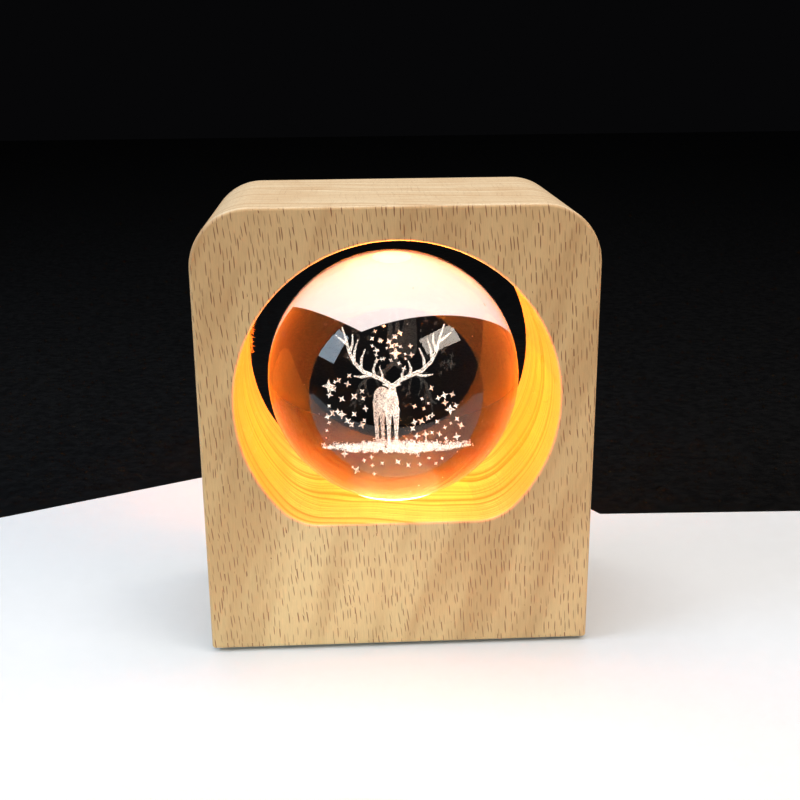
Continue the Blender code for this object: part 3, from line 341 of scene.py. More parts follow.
def ray_flecks(graph: Graph, spot: Value) -> bpy.types.NodeSocket:
    """Returns the rays' flecks: one slim lens in each stretched cell, some of them left out.

    Args:
        graph: The group's graph.
        spot: The position in millimetres.

    Returns:
        1 in the middle of a fleck, 0 between flecks.
    """
    slow = graph.stretched(spot, (0.045, 0.10, 0.035))
    bend = graph.put("ShaderNodeTexNoise", {"Vector": slow, "Scale": 1.0})
    swayed = graph.put("ShaderNodeVectorMath", {0: bend.outputs["Color"], 1: FLECK_SWAY, 2: spot},
                       operation="MULTIPLY_ADD").outputs[0]
    axes = graph.axes(swayed)
    leant = graph.vector(graph.plus(axes[0], graph.times(axes[2], FLECK_SLOPE)), axes[1], axes[2])
    cells = graph.stretched(leant, tuple(1.0 / size for size in FLECK_ROOM))
    rays = graph.put("ShaderNodeTexVoronoi", {"Vector": cells, "Scale": 1.0, "Randomness": 0.80})
    pick = graph.put("ShaderNodeSeparateColor", {0: rays.outputs["Color"]}).outputs
    apart = graph.put("ShaderNodeVectorMath", {0: cells, 1: rays.outputs["Position"]}, operation="SUBTRACT")
    reach = graph.length(graph.stretched(apart.outputs[0], tuple(1.0 / half for half in FLECK_HALF)))
    reach = graph.times(reach, graph.span(pick[1], 0.0, 1.0, 1.30, 0.88))
    core = graph.span(reach, 1.0, 0.62)
    kept = graph.span(pick[0], 0.08, 0.20)
    return graph.times(core, graph.times(kept, graph.span(pick[2], 0.0, 1.0, 0.55, 1.0)))


def beech_group() -> bpy.types.NodeTree:
    """Returns the group that holds solid beech: growth rings, rays, fibres and pores.

    The fibres run up, the rings lie across Y and the rays run along Y, so the front shows short
    dark flecks, the sides show wider ones, and the top shows the rings.
    """

    def fill(graph: Graph, entry: bpy.types.Node) -> dict[str, Value]:
        """Builds the masks from a position in metres."""
        spot = graph.scaled(entry.outputs["Position"], 1.0 / MM)
        axes = graph.axes(spot)
        leant = graph.vector(graph.plus(axes[0], graph.times(axes[2], BAND_SLOPE)), axes[1], axes[2])
        bands = graph.noise(graph.stretched(leant, (0.095, 0.040, 0.014)), 1.0)
        fibre = graph.noise(graph.stretched(spot, (3.2, 1.6, 0.22)), 1.0, 3.0, 0.65)
        fleck = ray_flecks(graph, spot)
        pores = graph.span(graph.noise(graph.stretched(spot, (4.5, 4.5, 0.5)), 1.0, 1.0), 0.60, 0.72)
        ends = graph.noise(graph.stretched(spot, (0.05, 2.4, 0.5)), 1.0, 3.0, 0.7)
        height = graph.minus(graph.times(fibre, 0.6), graph.times(fleck, 0.5))
        return {"Rings": growth_rings(graph, spot), "Bands": graph.span(bands, 0.42, 0.68), "Fibre": fibre,
                "Fleck": fleck, "Pores": pores, "Ends": graph.span(ends, 0.40, 0.66),
                "Height": graph.minus(height, graph.times(pores, 0.3))}

    masks = ("Rings", "Bands", "Fibre", "Fleck", "Pores", "Ends", "Height")
    outputs = {name: "NodeSocketFloat" for name in masks}
    return shader_group("beech_figure", {"Position": ("NodeSocketVector", 0.0)}, outputs, fill)


# Finishes


@dataclass(frozen=True)
class Finish:
    """A finish with an even colour that its fine grain makes a little uneven.

    Attributes:
        name: The material's name.
        colour: Its colour.
        roughness: Its roughness.
        metallic: 1 for metal.
        spread: How much the tone varies.
        density: The grain's frequency per metre.
        relief: The grain's height in metres.
        coat: A clear coat's weight.
    """

    name: str
    colour: Colour
    roughness: float
    metallic: float = 0.0
    spread: float = 0.20
    density: float = 2500.0
    relief: float = 0.01 * MM
    coat: float = 0.0

    def make(self) -> bpy.types.Material:
        """Makes the material once."""
        found = bpy.data.materials.get(self.name)
        if found:
            return found
        material = bpy.data.materials.new(self.name)
        material.use_nodes = True
        graph = Graph(material.node_tree)
        shader = material.node_tree.nodes["Principled BSDF"]
        shader.inputs["Metallic"].default_value = self.metallic
        shader.inputs["Coat Weight"].default_value = self.coat
        self.dress(graph, shader)
        return material

    def position(self, graph: Graph) -> bpy.types.NodeSocket:
        """Returns the position on the piece."""
        return graph.put("ShaderNodeTexCoord").outputs["Object"]

    def grain(self, graph: Graph) -> dict[str, bpy.types.NodeSocket]:
        """Places the fine grain group with this finish's density and returns its outputs."""
        node = graph.put("ShaderNodeGroup", node_tree=fine_grain_group())
        graph.feed(node.inputs["Position"], self.position(graph))
        graph.feed(node.inputs["Density"], self.density)
        return node.outputs

    def dress(self, graph: Graph, shader: bpy.types.Node) -> None:
        """Wires colour, roughness and relief.

        Args:
            graph: The material's graph.
            shader: Its Principled BSDF.
        """
        grain = self.grain(graph)
        dark = tuple(part * (1.0 - self.spread) for part in self.colour)
        light = tuple(min(1.0, part * (1.0 + self.spread)) for part in self.colour)
        tone = graph.span(grain["Tone"], 0.30, 0.70)
        graph.feed(shader.inputs["Base Color"], graph.mix(tone, dark, light))
        rough = graph.span(grain["Wear"], 0.30, 0.70, self.roughness * 0.75, min(1.0, self.roughness * 1.3))
        graph.feed(shader.inputs["Roughness"], rough)
        graph.feed(shader.inputs["Normal"], graph.bump(grain["Height"], self.relief))


@dataclass(frozen=True, kw_only=True)
class Beech(Finish):
    """Light beech, sanded and oiled, with its figure worked through the solid.

    Attributes:
        late: The darker tone of the growth rings.
        ray: The colour of the flecks.
        pale: The tone of the top, which shows the fibres' ends.
        amber_glow_tint: What the tone is multiplied by inside the window, a painted amber glow of the lamp's
            light.
        amber_glow_rings: The rings' colour there, painted amber lamp light.
        amber_floor_tint: What it is multiplied by low in the window, a painted tint of the lamp's light on
            its floor.
        amber_floor_tint_heights: Where that starts and where it is full.
        window: The window's radius.
        window_z: The height of its centre.
        half_y: Half the block's depth.
    """

    late: Colour = (0.485, 0.262, 0.108)
    ray: Colour = (0.25, 0.096, 0.038)
    pale: Colour = (0.78, 0.64, 0.43)
    amber_glow_tint: Colour = (1.0, 0.97, 0.42)
    amber_glow_rings: Colour = (0.62, 0.235, 0.045)
    amber_floor_tint: Colour = (1.0, 0.80, 0.96)
    amber_floor_tint_heights: tuple[float, float] = (47.0 * MM, 33.0 * MM)
    window: float
    window_z: float
    half_y: float

    def inside(self, graph: Graph, place: Value) -> bpy.types.NodeSocket:
        """Returns a mask of the window's own walls, where the amber lamp light is painted in as a deeper
        colour.

        Args:
            graph: The material's graph.
            place: The position.

        Returns:
            1 on the walls, 0 on the block's outer faces.
        """
        lowered = graph.put("ShaderNodeVectorMath", {0: place, 1: (0.0, 0.0, -self.window_z)},
                            operation="ADD")
        reach = graph.length(graph.stretched(lowered.outputs[0], (1.0, 0.0, 1.0)))
        depth = graph.math("ABSOLUTE", graph.axes(place)[1])
        within = graph.span(depth, self.half_y - 0.1 * MM, self.half_y - 0.9 * MM)
        return graph.times(graph.span(reach, self.window + 0.8 * MM, self.window + 0.1 * MM), within)

    def figure(self, graph: Graph, wood: bpy.types.bpy_prop_collection, end_grain: Value, side: Value,
               inside: Value) -> bpy.types.NodeSocket:
        """Lays rings, bands and fibres over the plain tone, with painted amber lamp light on the rings inside
        the window.

        Args:
            graph: The material's graph.
            wood: The outputs of the beech group.
            end_grain: 1 where a face looks up or down.
            side: 1 where it looks to a side.
            inside: 1 on the window's walls.

        Returns:
            The colour without flecks and pores.
        """
        colour = graph.mix(end_grain, self.colour, self.pale)
        share = graph.plus(graph.times(end_grain, 0.34), 0.26)
        colour = graph.mix(graph.times(wood["Rings"], share), colour, self.late)
        # Painted amber lamp light: inside the window the late rings turn deep orange.
        lines = graph.times(graph.span(wood["Rings"], 0.42, 0.88), inside)
        colour = graph.mix(graph.times(lines, 0.85), colour, self.amber_glow_rings)
        colour = graph.mix(graph.times(graph.times(wood["Ends"], end_grain), 0.38), colour, self.late)
        share = graph.minus(graph.plus(graph.times(end_grain, -0.58), 0.78), graph.times(side, 0.34))
        colour = graph.mix(graph.times(wood["Bands"], share), colour, self.late)
        fibre = graph.span(wood["Fibre"], 0.30, 0.70, 0.94, 1.05)
        grey = graph.put("ShaderNodeCombineColor", {0: fibre, 1: fibre, 2: fibre}).outputs[0]
        return graph.mix(1.0, colour, grey, "MULTIPLY")

    def dress(self, graph: Graph, shader: bpy.types.Node) -> None:
        """Wires the beech figure: rings, fibres, flecks, pores and relief, with painted amber lamp light in
        the window.
        """
        place = graph.put("ShaderNodeTexCoord").outputs
        node = graph.put("ShaderNodeGroup", node_tree=beech_group())
        graph.feed(node.inputs["Position"], place["Object"])
        wood = node.outputs
        facing_x, facing_y, facing_z = (graph.math("ABSOLUTE", axis) for axis in graph.axes(place["Normal"]))
        end_grain = graph.span(facing_z, 0.5, 0.9)
        side = graph.span(facing_x, 0.5, 0.9)
        inside = self.inside(graph, place["Object"])
        colour = self.figure(graph, wood, end_grain, side, inside)
        turned_away = graph.span(facing_y, 0.95, 0.50)
        hidden = graph.math("MAXIMUM", graph.times(turned_away, 0.88), graph.times(inside, 0.80))
        colour = graph.mix(graph.times(wood["Fleck"], graph.minus(1.0, hidden)), colour, self.ray)
        pores = graph.times(wood["Pores"], graph.plus(graph.times(end_grain, 0.20), 0.07))
        colour = graph.mix(pores, colour, self.ray)
        # Painted amber lamp light: the window's walls are tinted deep yellow.
        colour = graph.mix(inside, colour, self.amber_glow_tint, "MULTIPLY")
        # Painted lamp light: a further tint low in the window, towards its floor.
        low = graph.times(inside, graph.span(graph.axes(place["Object"])[2], *self.amber_floor_tint_heights))
        graph.feed(shader.inputs["Base Color"], graph.mix(low, colour, self.amber_floor_tint, "MULTIPLY"))
        shine = graph.minus(self.roughness, graph.times(graph.times(wood["Fleck"], side), 0.15))
        rough = graph.plus(shine, graph.times(graph.minus(wood["Fibre"], 0.5), 0.2))
        graph.feed(shader.inputs["Roughness"], rough)
        graph.feed(shader.inputs["Normal"], graph.bump(wood["Height"], self.relief))


@dataclass(frozen=True)
class Crystal(Finish):
    """Polished clear glass with a few specks of dust on it.

    Attributes:
        ior: The glass's index of refraction.
    """

    ior: float = 1.52

    def dress(self, graph: Graph, shader: bpy.types.Node) -> None:
        """Wires clear glass whose roughness rises at each speck."""
        shader.inputs["Transmission Weight"].default_value = 1.0
        shader.inputs["IOR"].default_value = self.ior
        place = self.position(graph)
        dust = graph.put("ShaderNodeTexVoronoi", {"Vector": place, "Scale": 240.0, "Randomness": 1.0})
        speck = graph.span(dust.outputs["Distance"], 0.045, 0.020)
        film = graph.noise(place, 45.0, 3.0)
        graph.feed(shader.inputs["Roughness"], graph.times(speck, 0.5))
        tint = graph.mix(graph.span(film, 0.3, 0.7), (0.985, 0.98, 0.97), self.colour)
        graph.feed(shader.inputs["Base Color"], tint)


@dataclass(frozen=True)
class Glow(Finish):
    """A surface that gives out light, brighter towards the lamp's axis.

    Attributes:
        light: The colour of the light.
        strength: Its strength.
        inner: The radius of full strength, in metres.
        outer: The radius where it has faded, in metres.
        floor: The share that is left there.
        clear: The transmission weight.
    """

    light: Colour = (1.0, 0.62, 0.22)
    strength: float = 4.0
    inner: float = 4.0 * MM
    outer: float = 11.0 * MM
    floor: float = 0.5
    clear: float = 0.0

    def dress(self, graph: Graph, shader: bpy.types.Node) -> None:
        """Wires a frosted surface with a light that fades outwards."""
        Finish.dress(self, graph, shader)
        shader.inputs["Transmission Weight"].default_value = self.clear
        shader.inputs["Emission Strength"].default_value = self.strength
        reach = graph.length(graph.stretched(self.position(graph), (1.0, 1.0, 0.0)))
        share = graph.span(reach, self.inner, self.outer, 1.0, self.floor)
        cloud = graph.span(graph.noise(self.position(graph), 900.0, 2.0), 0.2, 0.8, 0.85, 1.0)
        light = graph.mix(graph.times(share, cloud), (0.0, 0.0, 0.0), self.light)
        graph.feed(shader.inputs["Emission Color"], light)


@dataclass(frozen=True)
class Etched(Finish):
    """The white of fine cracks in glass, painted as a glow of the lamp's scattered light, with painted
    glints.

    Attributes:
        light: The colour of their painted glow, standing in for the light they scatter.
        strength: Its strength.
        front: The depth in metres where the painted glow is full.
        back: The depth where painted shade has dimmed it to its least.
    """

    light: Colour = (1.0, 0.93, 0.81)
    strength: float = 1.65
    front: float = -1.5 * MM
    back: float = 3.5 * MM

    def dress(self, graph: Graph, shader: bpy.types.Node) -> None:
        """Wires a painted glow that differs from crack to crack as painted glints and dims to the back as
        painted shade.
        """
        Finish.dress(self, graph, shader)
        shader.inputs["Emission Strength"].default_value = self.strength
        place = self.position(graph)
        # Painted glints: each crack's glow is set at random.
        cells = graph.put("ShaderNodeTexVoronoi", {"Vector": place, "Scale": 5200.0, "Randomness": 1.0})
        painted_glint = graph.put("ShaderNodeSeparateColor", {0: cells.outputs["Color"]}).outputs[0]
        # Painted shade: the glow dims towards the back.
        fade = graph.span(graph.axes(place)[1], self.front, self.back, 1.0, 0.62)
        share = graph.times(graph.span(painted_glint, 0.1, 0.9, 0.32, 1.0), fade)
        graph.feed(shader.inputs["Emission Color"], graph.mix(share, (0.0, 0.0, 0.0), self.light))


ZINC_STEEL = Finish("zinc_steel", (0.60, 0.60, 0.60), 0.30, metallic=1.0, spread=0.12)


# Mesh making


def arc(centre: tuple[float, float], radius: float, start: float, end: float,
        steps: int) -> list[tuple[float, float]]:
    """Returns the points of an arc, both ends included.

    Args:
        centre: Its centre.
        radius: Its radius.
        start: The first angle in radians.
        end: The last angle.
        steps: How many chords.

    Returns:
        The points.
    """
    points = []
    for step in range(steps + 1):
        angle = start + (end - start) * step / steps
        points.append((centre[0] + radius * math.cos(angle), centre[1] + radius * math.sin(angle)))
    return points


def rounded(half_x: float, half_y: float, radius: float, steps: int = 8) -> list[tuple[float, float]]:
    """Returns the outline of a rectangle with round corners.

    Args:
        half_x: Half its width.
        half_y: Half its height.
        radius: Its corners' radius.
        steps: Chords for each corner.

    Returns:
        The points, anticlockwise.
    """
    points = []
    for quarter, (side_x, side_y) in enumerate(((1, 1), (-1, 1), (-1, -1), (1, -1))):
        centre = (side_x * (half_x - radius), side_y * (half_y - radius))
        start = quarter * math.pi / 2
        points += arc(centre, radius, start, start + math.pi / 2, steps)
    return points


def slot(width: float, height: float, middle: tuple[float, float],
         steps: int = 16) -> list[tuple[float, float]]:
    """Returns the outline of a slot with half-round ends.

    Args:
        width: Its whole width.
        height: Its height.
        middle: Its centre.
        steps: Chords for each end.

    Returns:
        The points, anticlockwise.
    """
    radius = height / 2
    reach = width / 2 - radius
    points = arc((middle[0] + reach, middle[1]), radius, -math.pi / 2, math.pi / 2, steps)
    return points + arc((middle[0] - reach, middle[1]), radius, math.pi / 2, math.pi * 1.5, steps)


def across(u: float, v: float, height: float) -> Point:
    """Places an outline that is drawn from the front, its height running to the back."""
    return (u, height, v)


def upright(u: float, v: float, height: float) -> Point:
    """Places an outline that is drawn from above."""
    return (u, v, height)


def loft(levels: Sequence[tuple[Sequence[tuple[float, float]], float]],
         place: Callable[[float, float, float], Point]) -> bmesh.types.BMesh:
    """Joins outlines of as many points each into one closed body.

    Args:
        levels: The outlines and their heights.
        place: Turns (u, v, height) into a point.

    Returns:
        The body.
    """
    bm = bmesh.new()
    rings = [[bm.verts.new(place(u, v, height)) for u, v in outline] for outline, height in levels]
    for low, high in zip(rings, rings[1:]):
        for index in range(len(low)):
            after = (index + 1) % len(low)
            bm.faces.new((low[index], low[after], high[after], high[index]))
    bm.faces.new(rings[0])
    bm.faces.new(rings[-1])
    bmesh.ops.recalc_face_normals(bm, faces=bm.faces[:])
    return bm


def turned(profile: Profile, segments: int, facing: Facing = Facing.UP,
           centre: Point = (0.0, 0.0, 0.0)) -> bmesh.types.BMesh:
    """Spins a profile of (radius, height) about its axis.

    Args:
        profile: Its points; one that is off the axis closes on itself.
        segments: The steps round.
        facing: The way the axis points.
        centre: Where height zero lies.

    Returns:
        The body.
    """
    bm = bmesh.new()
    verts = [bm.verts.new((radius, 0.0, height)) for radius, height in profile]
    edges = [bm.edges.new(pair) for pair in zip(verts, verts[1:])]
    if profile[0][0] > 0:
        edges.append(bm.edges.new((verts[-1], verts[0])))
    bmesh.ops.spin(bm, geom=verts + edges, cent=(0, 0, 0), axis=(0, 0, 1), angle=2 * math.pi,
                   steps=segments, use_merge=True)
    bmesh.ops.remove_doubles(bm, verts=bm.verts[:], dist=WELD)
    if facing is Facing.BACK:
        bmesh.ops.rotate(bm, verts=bm.verts[:], cent=(0, 0, 0), matrix=Matrix.Rotation(-math.pi / 2, 3, "X"))
    bmesh.ops.translate(bm, verts=bm.verts[:], vec=centre)
    bmesh.ops.recalc_face_normals(bm, faces=bm.faces[:])
    return bm


def softened(profile: Profile, radius: float, steps: int = 3) -> list[tuple[float, float]]:
    """Rounds a profile's corners.

    Args:
        profile: The points.
        radius: The rounding, cut short where a side is.
        steps: Chords for each corner.

    Returns:
        The rounded profile.
    """
    points = [Vector(point) for point in profile]
    off_axis = profile[0][0] > 0
    result = [] if off_axis else [tuple(points[0])]
    count = len(points)
    for index in range(count) if off_axis else range(1, count - 1):
        before, here, after = points[index - 1], points[index], points[(index + 1) % count]
        reach = min(radius, (before - here).length * 0.45, (after - here).length * 0.45)
        start = here + (before - here).normalized() * reach
        end = here + (after - here).normalized() * reach
        for step in range(steps + 1):
            t = step / steps
            result.append(tuple(start * (1 - t) ** 2 + here * 2 * t * (1 - t) + end * t**2))
    return result if off_axis else result + [tuple(points[-1])]


def piece_from(name: str, bm: bmesh.types.BMesh,
               material: bpy.types.Material | None = None) -> bpy.types.Object:
    """Links an object made from a bmesh, at the origin, shaded smooth up to a set angle.

    Args:
        name: Its name.
        bm: Its body, which is freed.
        material: Its finish.

    Returns:
        The object.
    """
    mesh = bpy.data.meshes.new(name)
    bm.to_mesh(mesh)
    bm.free()
    if material:
        mesh.materials.append(material)
    mesh.shade_smooth()
    mesh.set_sharp_from_angle(angle=SMOOTH_ANGLE)
    obj = bpy.data.objects.new(name, mesh)
    bpy.context.scene.collection.objects.link(obj)
    return obj


def settle(obj: bpy.types.Object) -> bpy.types.Object:
    """Turns an object's modifiers into its mesh.

    Args:
        obj: The object.

    Returns:
        The same object, with a plain mesh.
    """
    graph = bpy.context.evaluated_depsgraph_get()
    graph.update()
    mesh = bpy.data.meshes.new_from_object(obj.evaluated_get(graph), preserve_all_data_layers=True,
                                           depsgraph=graph)
    obj.modifiers.clear()
    obj.data = mesh
    return obj


def cut(target: bpy.types.Object, bodies: Iterable[bmesh.types.BMesh]) -> None:
    """Cuts bodies out of an object.

    Args:
        target: What is cut.
        bodies: The cutting bodies, which are freed.
    """
    tools = [piece_from("cutter", body) for body in bodies]
    for tool in tools:
        modifier = target.modifiers.new("cut", "BOOLEAN")
        modifier.operation = "DIFFERENCE"
        modifier.object = tool
        modifier.solver = "EXACT"
    settle(target)
    for tool in tools:
        bpy.data.objects.remove(tool, do_unlink=True)


def round_edges(target: bpy.types.Object, width: float, segments: int, angle: float = 50.0) -> None:
    """Rounds an object's sharp edges.

    Args:
        target: The object.
        width: The rounding in metres.
        segments: Its steps.
        angle: The least angle of an edge, in degrees.
    """
    modifier = target.modifiers.new("arris", "BEVEL")
    modifier.width = width
    modifier.segments = segments
    modifier.limit_method = "ANGLE"
    modifier.angle_limit = math.radians(angle)
    modifier.loop_slide = False
    settle(target)


def joined(name: str, parts: Iterable[bpy.types.Object], material: bpy.types.Material) -> bpy.types.Object:
    """Joins objects that share a finish into one.

    Args:
        name: The new object's name.
        parts: The objects, which are removed.
        material: The finish.

    Returns:
        The new object.
    """
    bm = bmesh.new()
    for part in parts:
        bm.from_mesh(part.data)
        bpy.data.objects.remove(part, do_unlink=True)
    return piece_from(name, bm, material)


def mount(obj: bpy.types.Object, body: Body, slot_name: str, *nodes: str) -> bpy.types.Object:
    """Hands a finished piece to the frame.

    Args:
        obj: The piece.
        body: What it rides on.
        slot_name: The record's slot for its finish; not used.
        *nodes: The CAD nodes that it stands for.

    Returns:
        The piece.
    """
    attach(obj, body.value)
    if nodes:
        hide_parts(*nodes)
    log.info("%s rides on %s, %d faces", obj.name, body.value, len(obj.data.polygons))
    return obj


# Geometry Nodes

SOCKET_KINDS = {float: "NodeSocketFloat", int: "NodeSocketInt", type(None): "NodeSocketObject"}
FULL_TURN = 6.28
QUARTER_TURN = 1.57


def geometry_tree(name: str, inputs: dict[str, float | int | None]) -> tuple[Graph, Sockets]:
    """Starts a geometry tree with named inputs.

    Args:
        name: Its name.
        inputs: Each input's default, whose type gives the socket's kind; None stands for an object.

    Returns:
        The graph and its inputs, by name.
    """
    tree = bpy.data.node_groups.new(name, "GeometryNodeTree")
    tree.interface.new_socket("Geometry", in_out="INPUT", socket_type="NodeSocketGeometry")
    for label, default in inputs.items():
        socket = tree.interface.new_socket(label, in_out="INPUT", socket_type=SOCKET_KINDS[type(default)])
        if default is not None:
            socket.default_value = default
    tree.interface.new_socket("Geometry", in_out="OUTPUT", socket_type="NodeSocketGeometry")
    graph = Graph(tree)
    return graph, graph.put("NodeGroupInput").outputs


def close_tree(graph: Graph, instances: bpy.types.NodeSocket,
               material: bpy.types.Material) -> bpy.types.NodeTree:
    """Ends a geometry tree: realizes its instances and sets their material.

    Args:
        graph: The tree's graph.
        instances: What it made.
        material: The finish.

    Returns:
        The tree.
    """
    real = graph.put("GeometryNodeRealizeInstances", {"Geometry": instances})
    dressed = graph.put("GeometryNodeSetMaterial", {"Geometry": real.outputs[0], "Material": material})
    graph.put("NodeGroupOutput", {"Geometry": dressed.outputs[0]})
    return graph.tree


def grow(obj: bpy.types.Object, tree: bpy.types.NodeTree, values: dict[str, object]) -> bpy.types.Object:
    """Runs a geometry tree on an object and keeps its result as a plain mesh.

    Args:
        obj: The object.
        tree: The tree.
        values: Its inputs, by name.

    Returns:
        The same object.
    """
    modifier = obj.modifiers.new(tree.name, "NODES")
    modifier.node_group = tree
    for item in tree.interface.items_tree:
        if item.item_type == "SOCKET" and item.in_out == "INPUT" and item.name in values:
            modifier[item.identifier] = values[item.name]
    settle(obj)
    return obj


def scattered(graph: Graph, given: Sockets) -> Sockets:
    """Strews points over the tree's surface, as its Density and Seed inputs say."""
    inputs = {"Mesh": given["Geometry"]} | {name: given[name] for name in ("Density", "Seed")}
    return graph.put("GeometryNodeDistributePointsOnFaces", inputs).outputs


def by_chance(graph: Graph, low: Value, high: Value, seed: Value) -> bpy.types.NodeSocket:
    """Returns a vector drawn by chance between two others."""
    inputs = {0: low, 1: high, "Seed": seed}
    return graph.put("FunctionNodeRandomValue", inputs, data_type="FLOAT_VECTOR").outputs[0]


def size_by_chance(graph: Graph, low: float, high: float, seed: int) -> bpy.types.NodeSocket:
    """Returns a number drawn by chance between two others."""
    return graph.put("FunctionNodeRandomValue", {2: low, 3: high, "Seed": seed}, data_type="FLOAT").outputs[1]


def moved(graph: Graph, points: Value, offset: Value) -> bpy.types.NodeSocket:
    """Returns points moved by an offset."""
    return graph.put("GeometryNodeSetPosition", {"Geometry": points, "Offset": offset}).outputs[0]


def stood(graph: Graph, points: Value, shape: Value, **how: Value) -> bpy.types.NodeSocket:
    """Stands a shape on every point.

    Args:
        graph: The tree's graph.
        points: The points.
        shape: The shape.
        **how: The shape's Rotation and Scale.

    Returns:
        The instances.
    """
    return graph.put("GeometryNodeInstanceOnPoints", {"Points": points, "Instance": shape, **how}).outputs[0]


def grains_tree(material: bpy.types.Material) -> bpy.types.NodeTree:
    """Returns the tree that covers a surface with tiny crystals, as a laser leaves them in glass."""
    graph, given = geometry_tree("grains", {"Density": 1.0e7, "Size": 0.1 * MM, "Scatter": 0.0, "Seed": 1})
    points = scattered(graph, given)["Points"]
    low, high = (graph.scaled((sign, sign, sign), given["Scatter"]) for sign in (-1.0, 1.0))
    shift = by_chance(graph, low, high, given["Seed"])
    crystal = graph.put("GeometryNodeMeshUVSphere", {"Radius": given["Size"], "Segments": 3, "Rings": 2})
    turn = by_chance(graph, (0.0, 0.0, 0.0), (FULL_TURN, FULL_TURN, FULL_TURN), 5)
    placed = stood(graph, moved(graph, points, shift), crystal.outputs["Mesh"], Rotation=turn,
                   Scale=size_by_chance(graph, 0.5, 1.5, 7))
    return close_tree(graph, placed, material)


def stars_tree(material: bpy.types.Material) -> bpy.types.NodeTree:
    """Returns the tree that strews a shape over a surface, each turned and sized by chance."""
    graph, given = geometry_tree("stars", {
        "Star": None, "Density": 1.0e6, "Apart": 1.0 * MM, "Depth": 4.0 * MM, "Seed": 3})
    spread = graph.put("GeometryNodeDistributePointsOnFaces", {
        "Mesh": given["Geometry"], "Distance Min": given["Apart"], "Density Max": given["Density"],
        "Seed": given["Seed"]}, distribute_method="POISSON")
    back, front = (graph.scaled((0.0, sign, 0.0), given["Depth"]) for sign in (-1.0, 1.0))
    points = moved(graph, spread.outputs["Points"], by_chance(graph, back, front, 11))
    star = graph.put("GeometryNodeObjectInfo", {"Object": given["Star"]})
    turn = by_chance(graph, (-0.5, 0.0, -0.5), (0.5, QUARTER_TURN, 0.5), 19)
    placed = stood(graph, points, star.outputs["Geometry"], Rotation=turn,
                   Scale=size_by_chance(graph, 0.50, 1.15, 17))
    return close_tree(graph, placed, material)


def fibres_tree(material: bpy.types.Material) -> bpy.types.NodeTree:
    """Returns the tree that stands short pointed fibres on a surface, each leaning by chance."""
    graph, given = geometry_tree("fibres", {
        "Density": 4.0e6, "Length": 0.7 * MM, "Width": 0.1 * MM, "Seed": 5})
    spread = scattered(graph, given)
    fibre = graph.put("GeometryNodeMeshCone", {
        "Vertices": 5, "Radius Top": 0.0, "Radius Bottom": given["Width"], "Depth": given["Length"]})
    lean = by_chance(graph, (-0.9, -0.5, 0.0), (0.9, 0.9, FULL_TURN), 13)
    turn = graph.put("FunctionNodeRotateRotation", {0: spread["Rotation"], 1: lean}, rotation_space="LOCAL")
    placed = stood(graph, spread["Points"], fibre.outputs["Mesh"], Rotation=turn.outputs[0],
                   Scale=by_chance(graph, (0.6, 0.6, 0.25), (1.5, 1.5, 1.35), 21))
    return close_tree(graph, placed, material)


def copies_tree(material: bpy.types.Material) -> bpy.types.NodeTree:
    """Returns the tree that sets one shape at each corner of a grid, as screws and feet stand."""
    graph, given = geometry_tree("copies_on_grid", {
        "Width": 50.0 * MM, "Depth": 30.0 * MM, "Across": 2, "Along": 2})
    grid = graph.put("GeometryNodeMeshGrid", {
        "Size X": given["Width"], "Size Y": given["Depth"], "Vertices X": given["Across"],
        "Vertices Y": given["Along"]})
    return close_tree(graph, stood(graph, grid.outputs["Mesh"], given["Geometry"]), material)


def coil_tree(material: bpy.types.Material) -> bpy.types.NodeTree:
    """Returns the tree that winds a wire into a spring along Z."""
    graph, given = geometry_tree("spring_coil", {"Turns": 4.0, "Radius": 2.0 * MM, "Height": 4.0 * MM,
                                                 "Wire": 0.2 * MM})
    spiral = graph.put("GeometryNodeCurveSpiral", {
        "Resolution": 40, "Rotations": given["Turns"], "Start Radius": given["Radius"],
        "End Radius": given["Radius"], "Height": given["Height"]})
    wire = graph.put("GeometryNodeCurvePrimitiveCircle", {"Resolution": 10, "Radius": given["Wire"]})
    wound = graph.put("GeometryNodeCurveToMesh", {
        "Curve": spiral.outputs[0], "Profile Curve": wire.outputs[0], "Fill Caps": True})
    return close_tree(graph, wound.outputs[0], material)


# Sub-assemblies


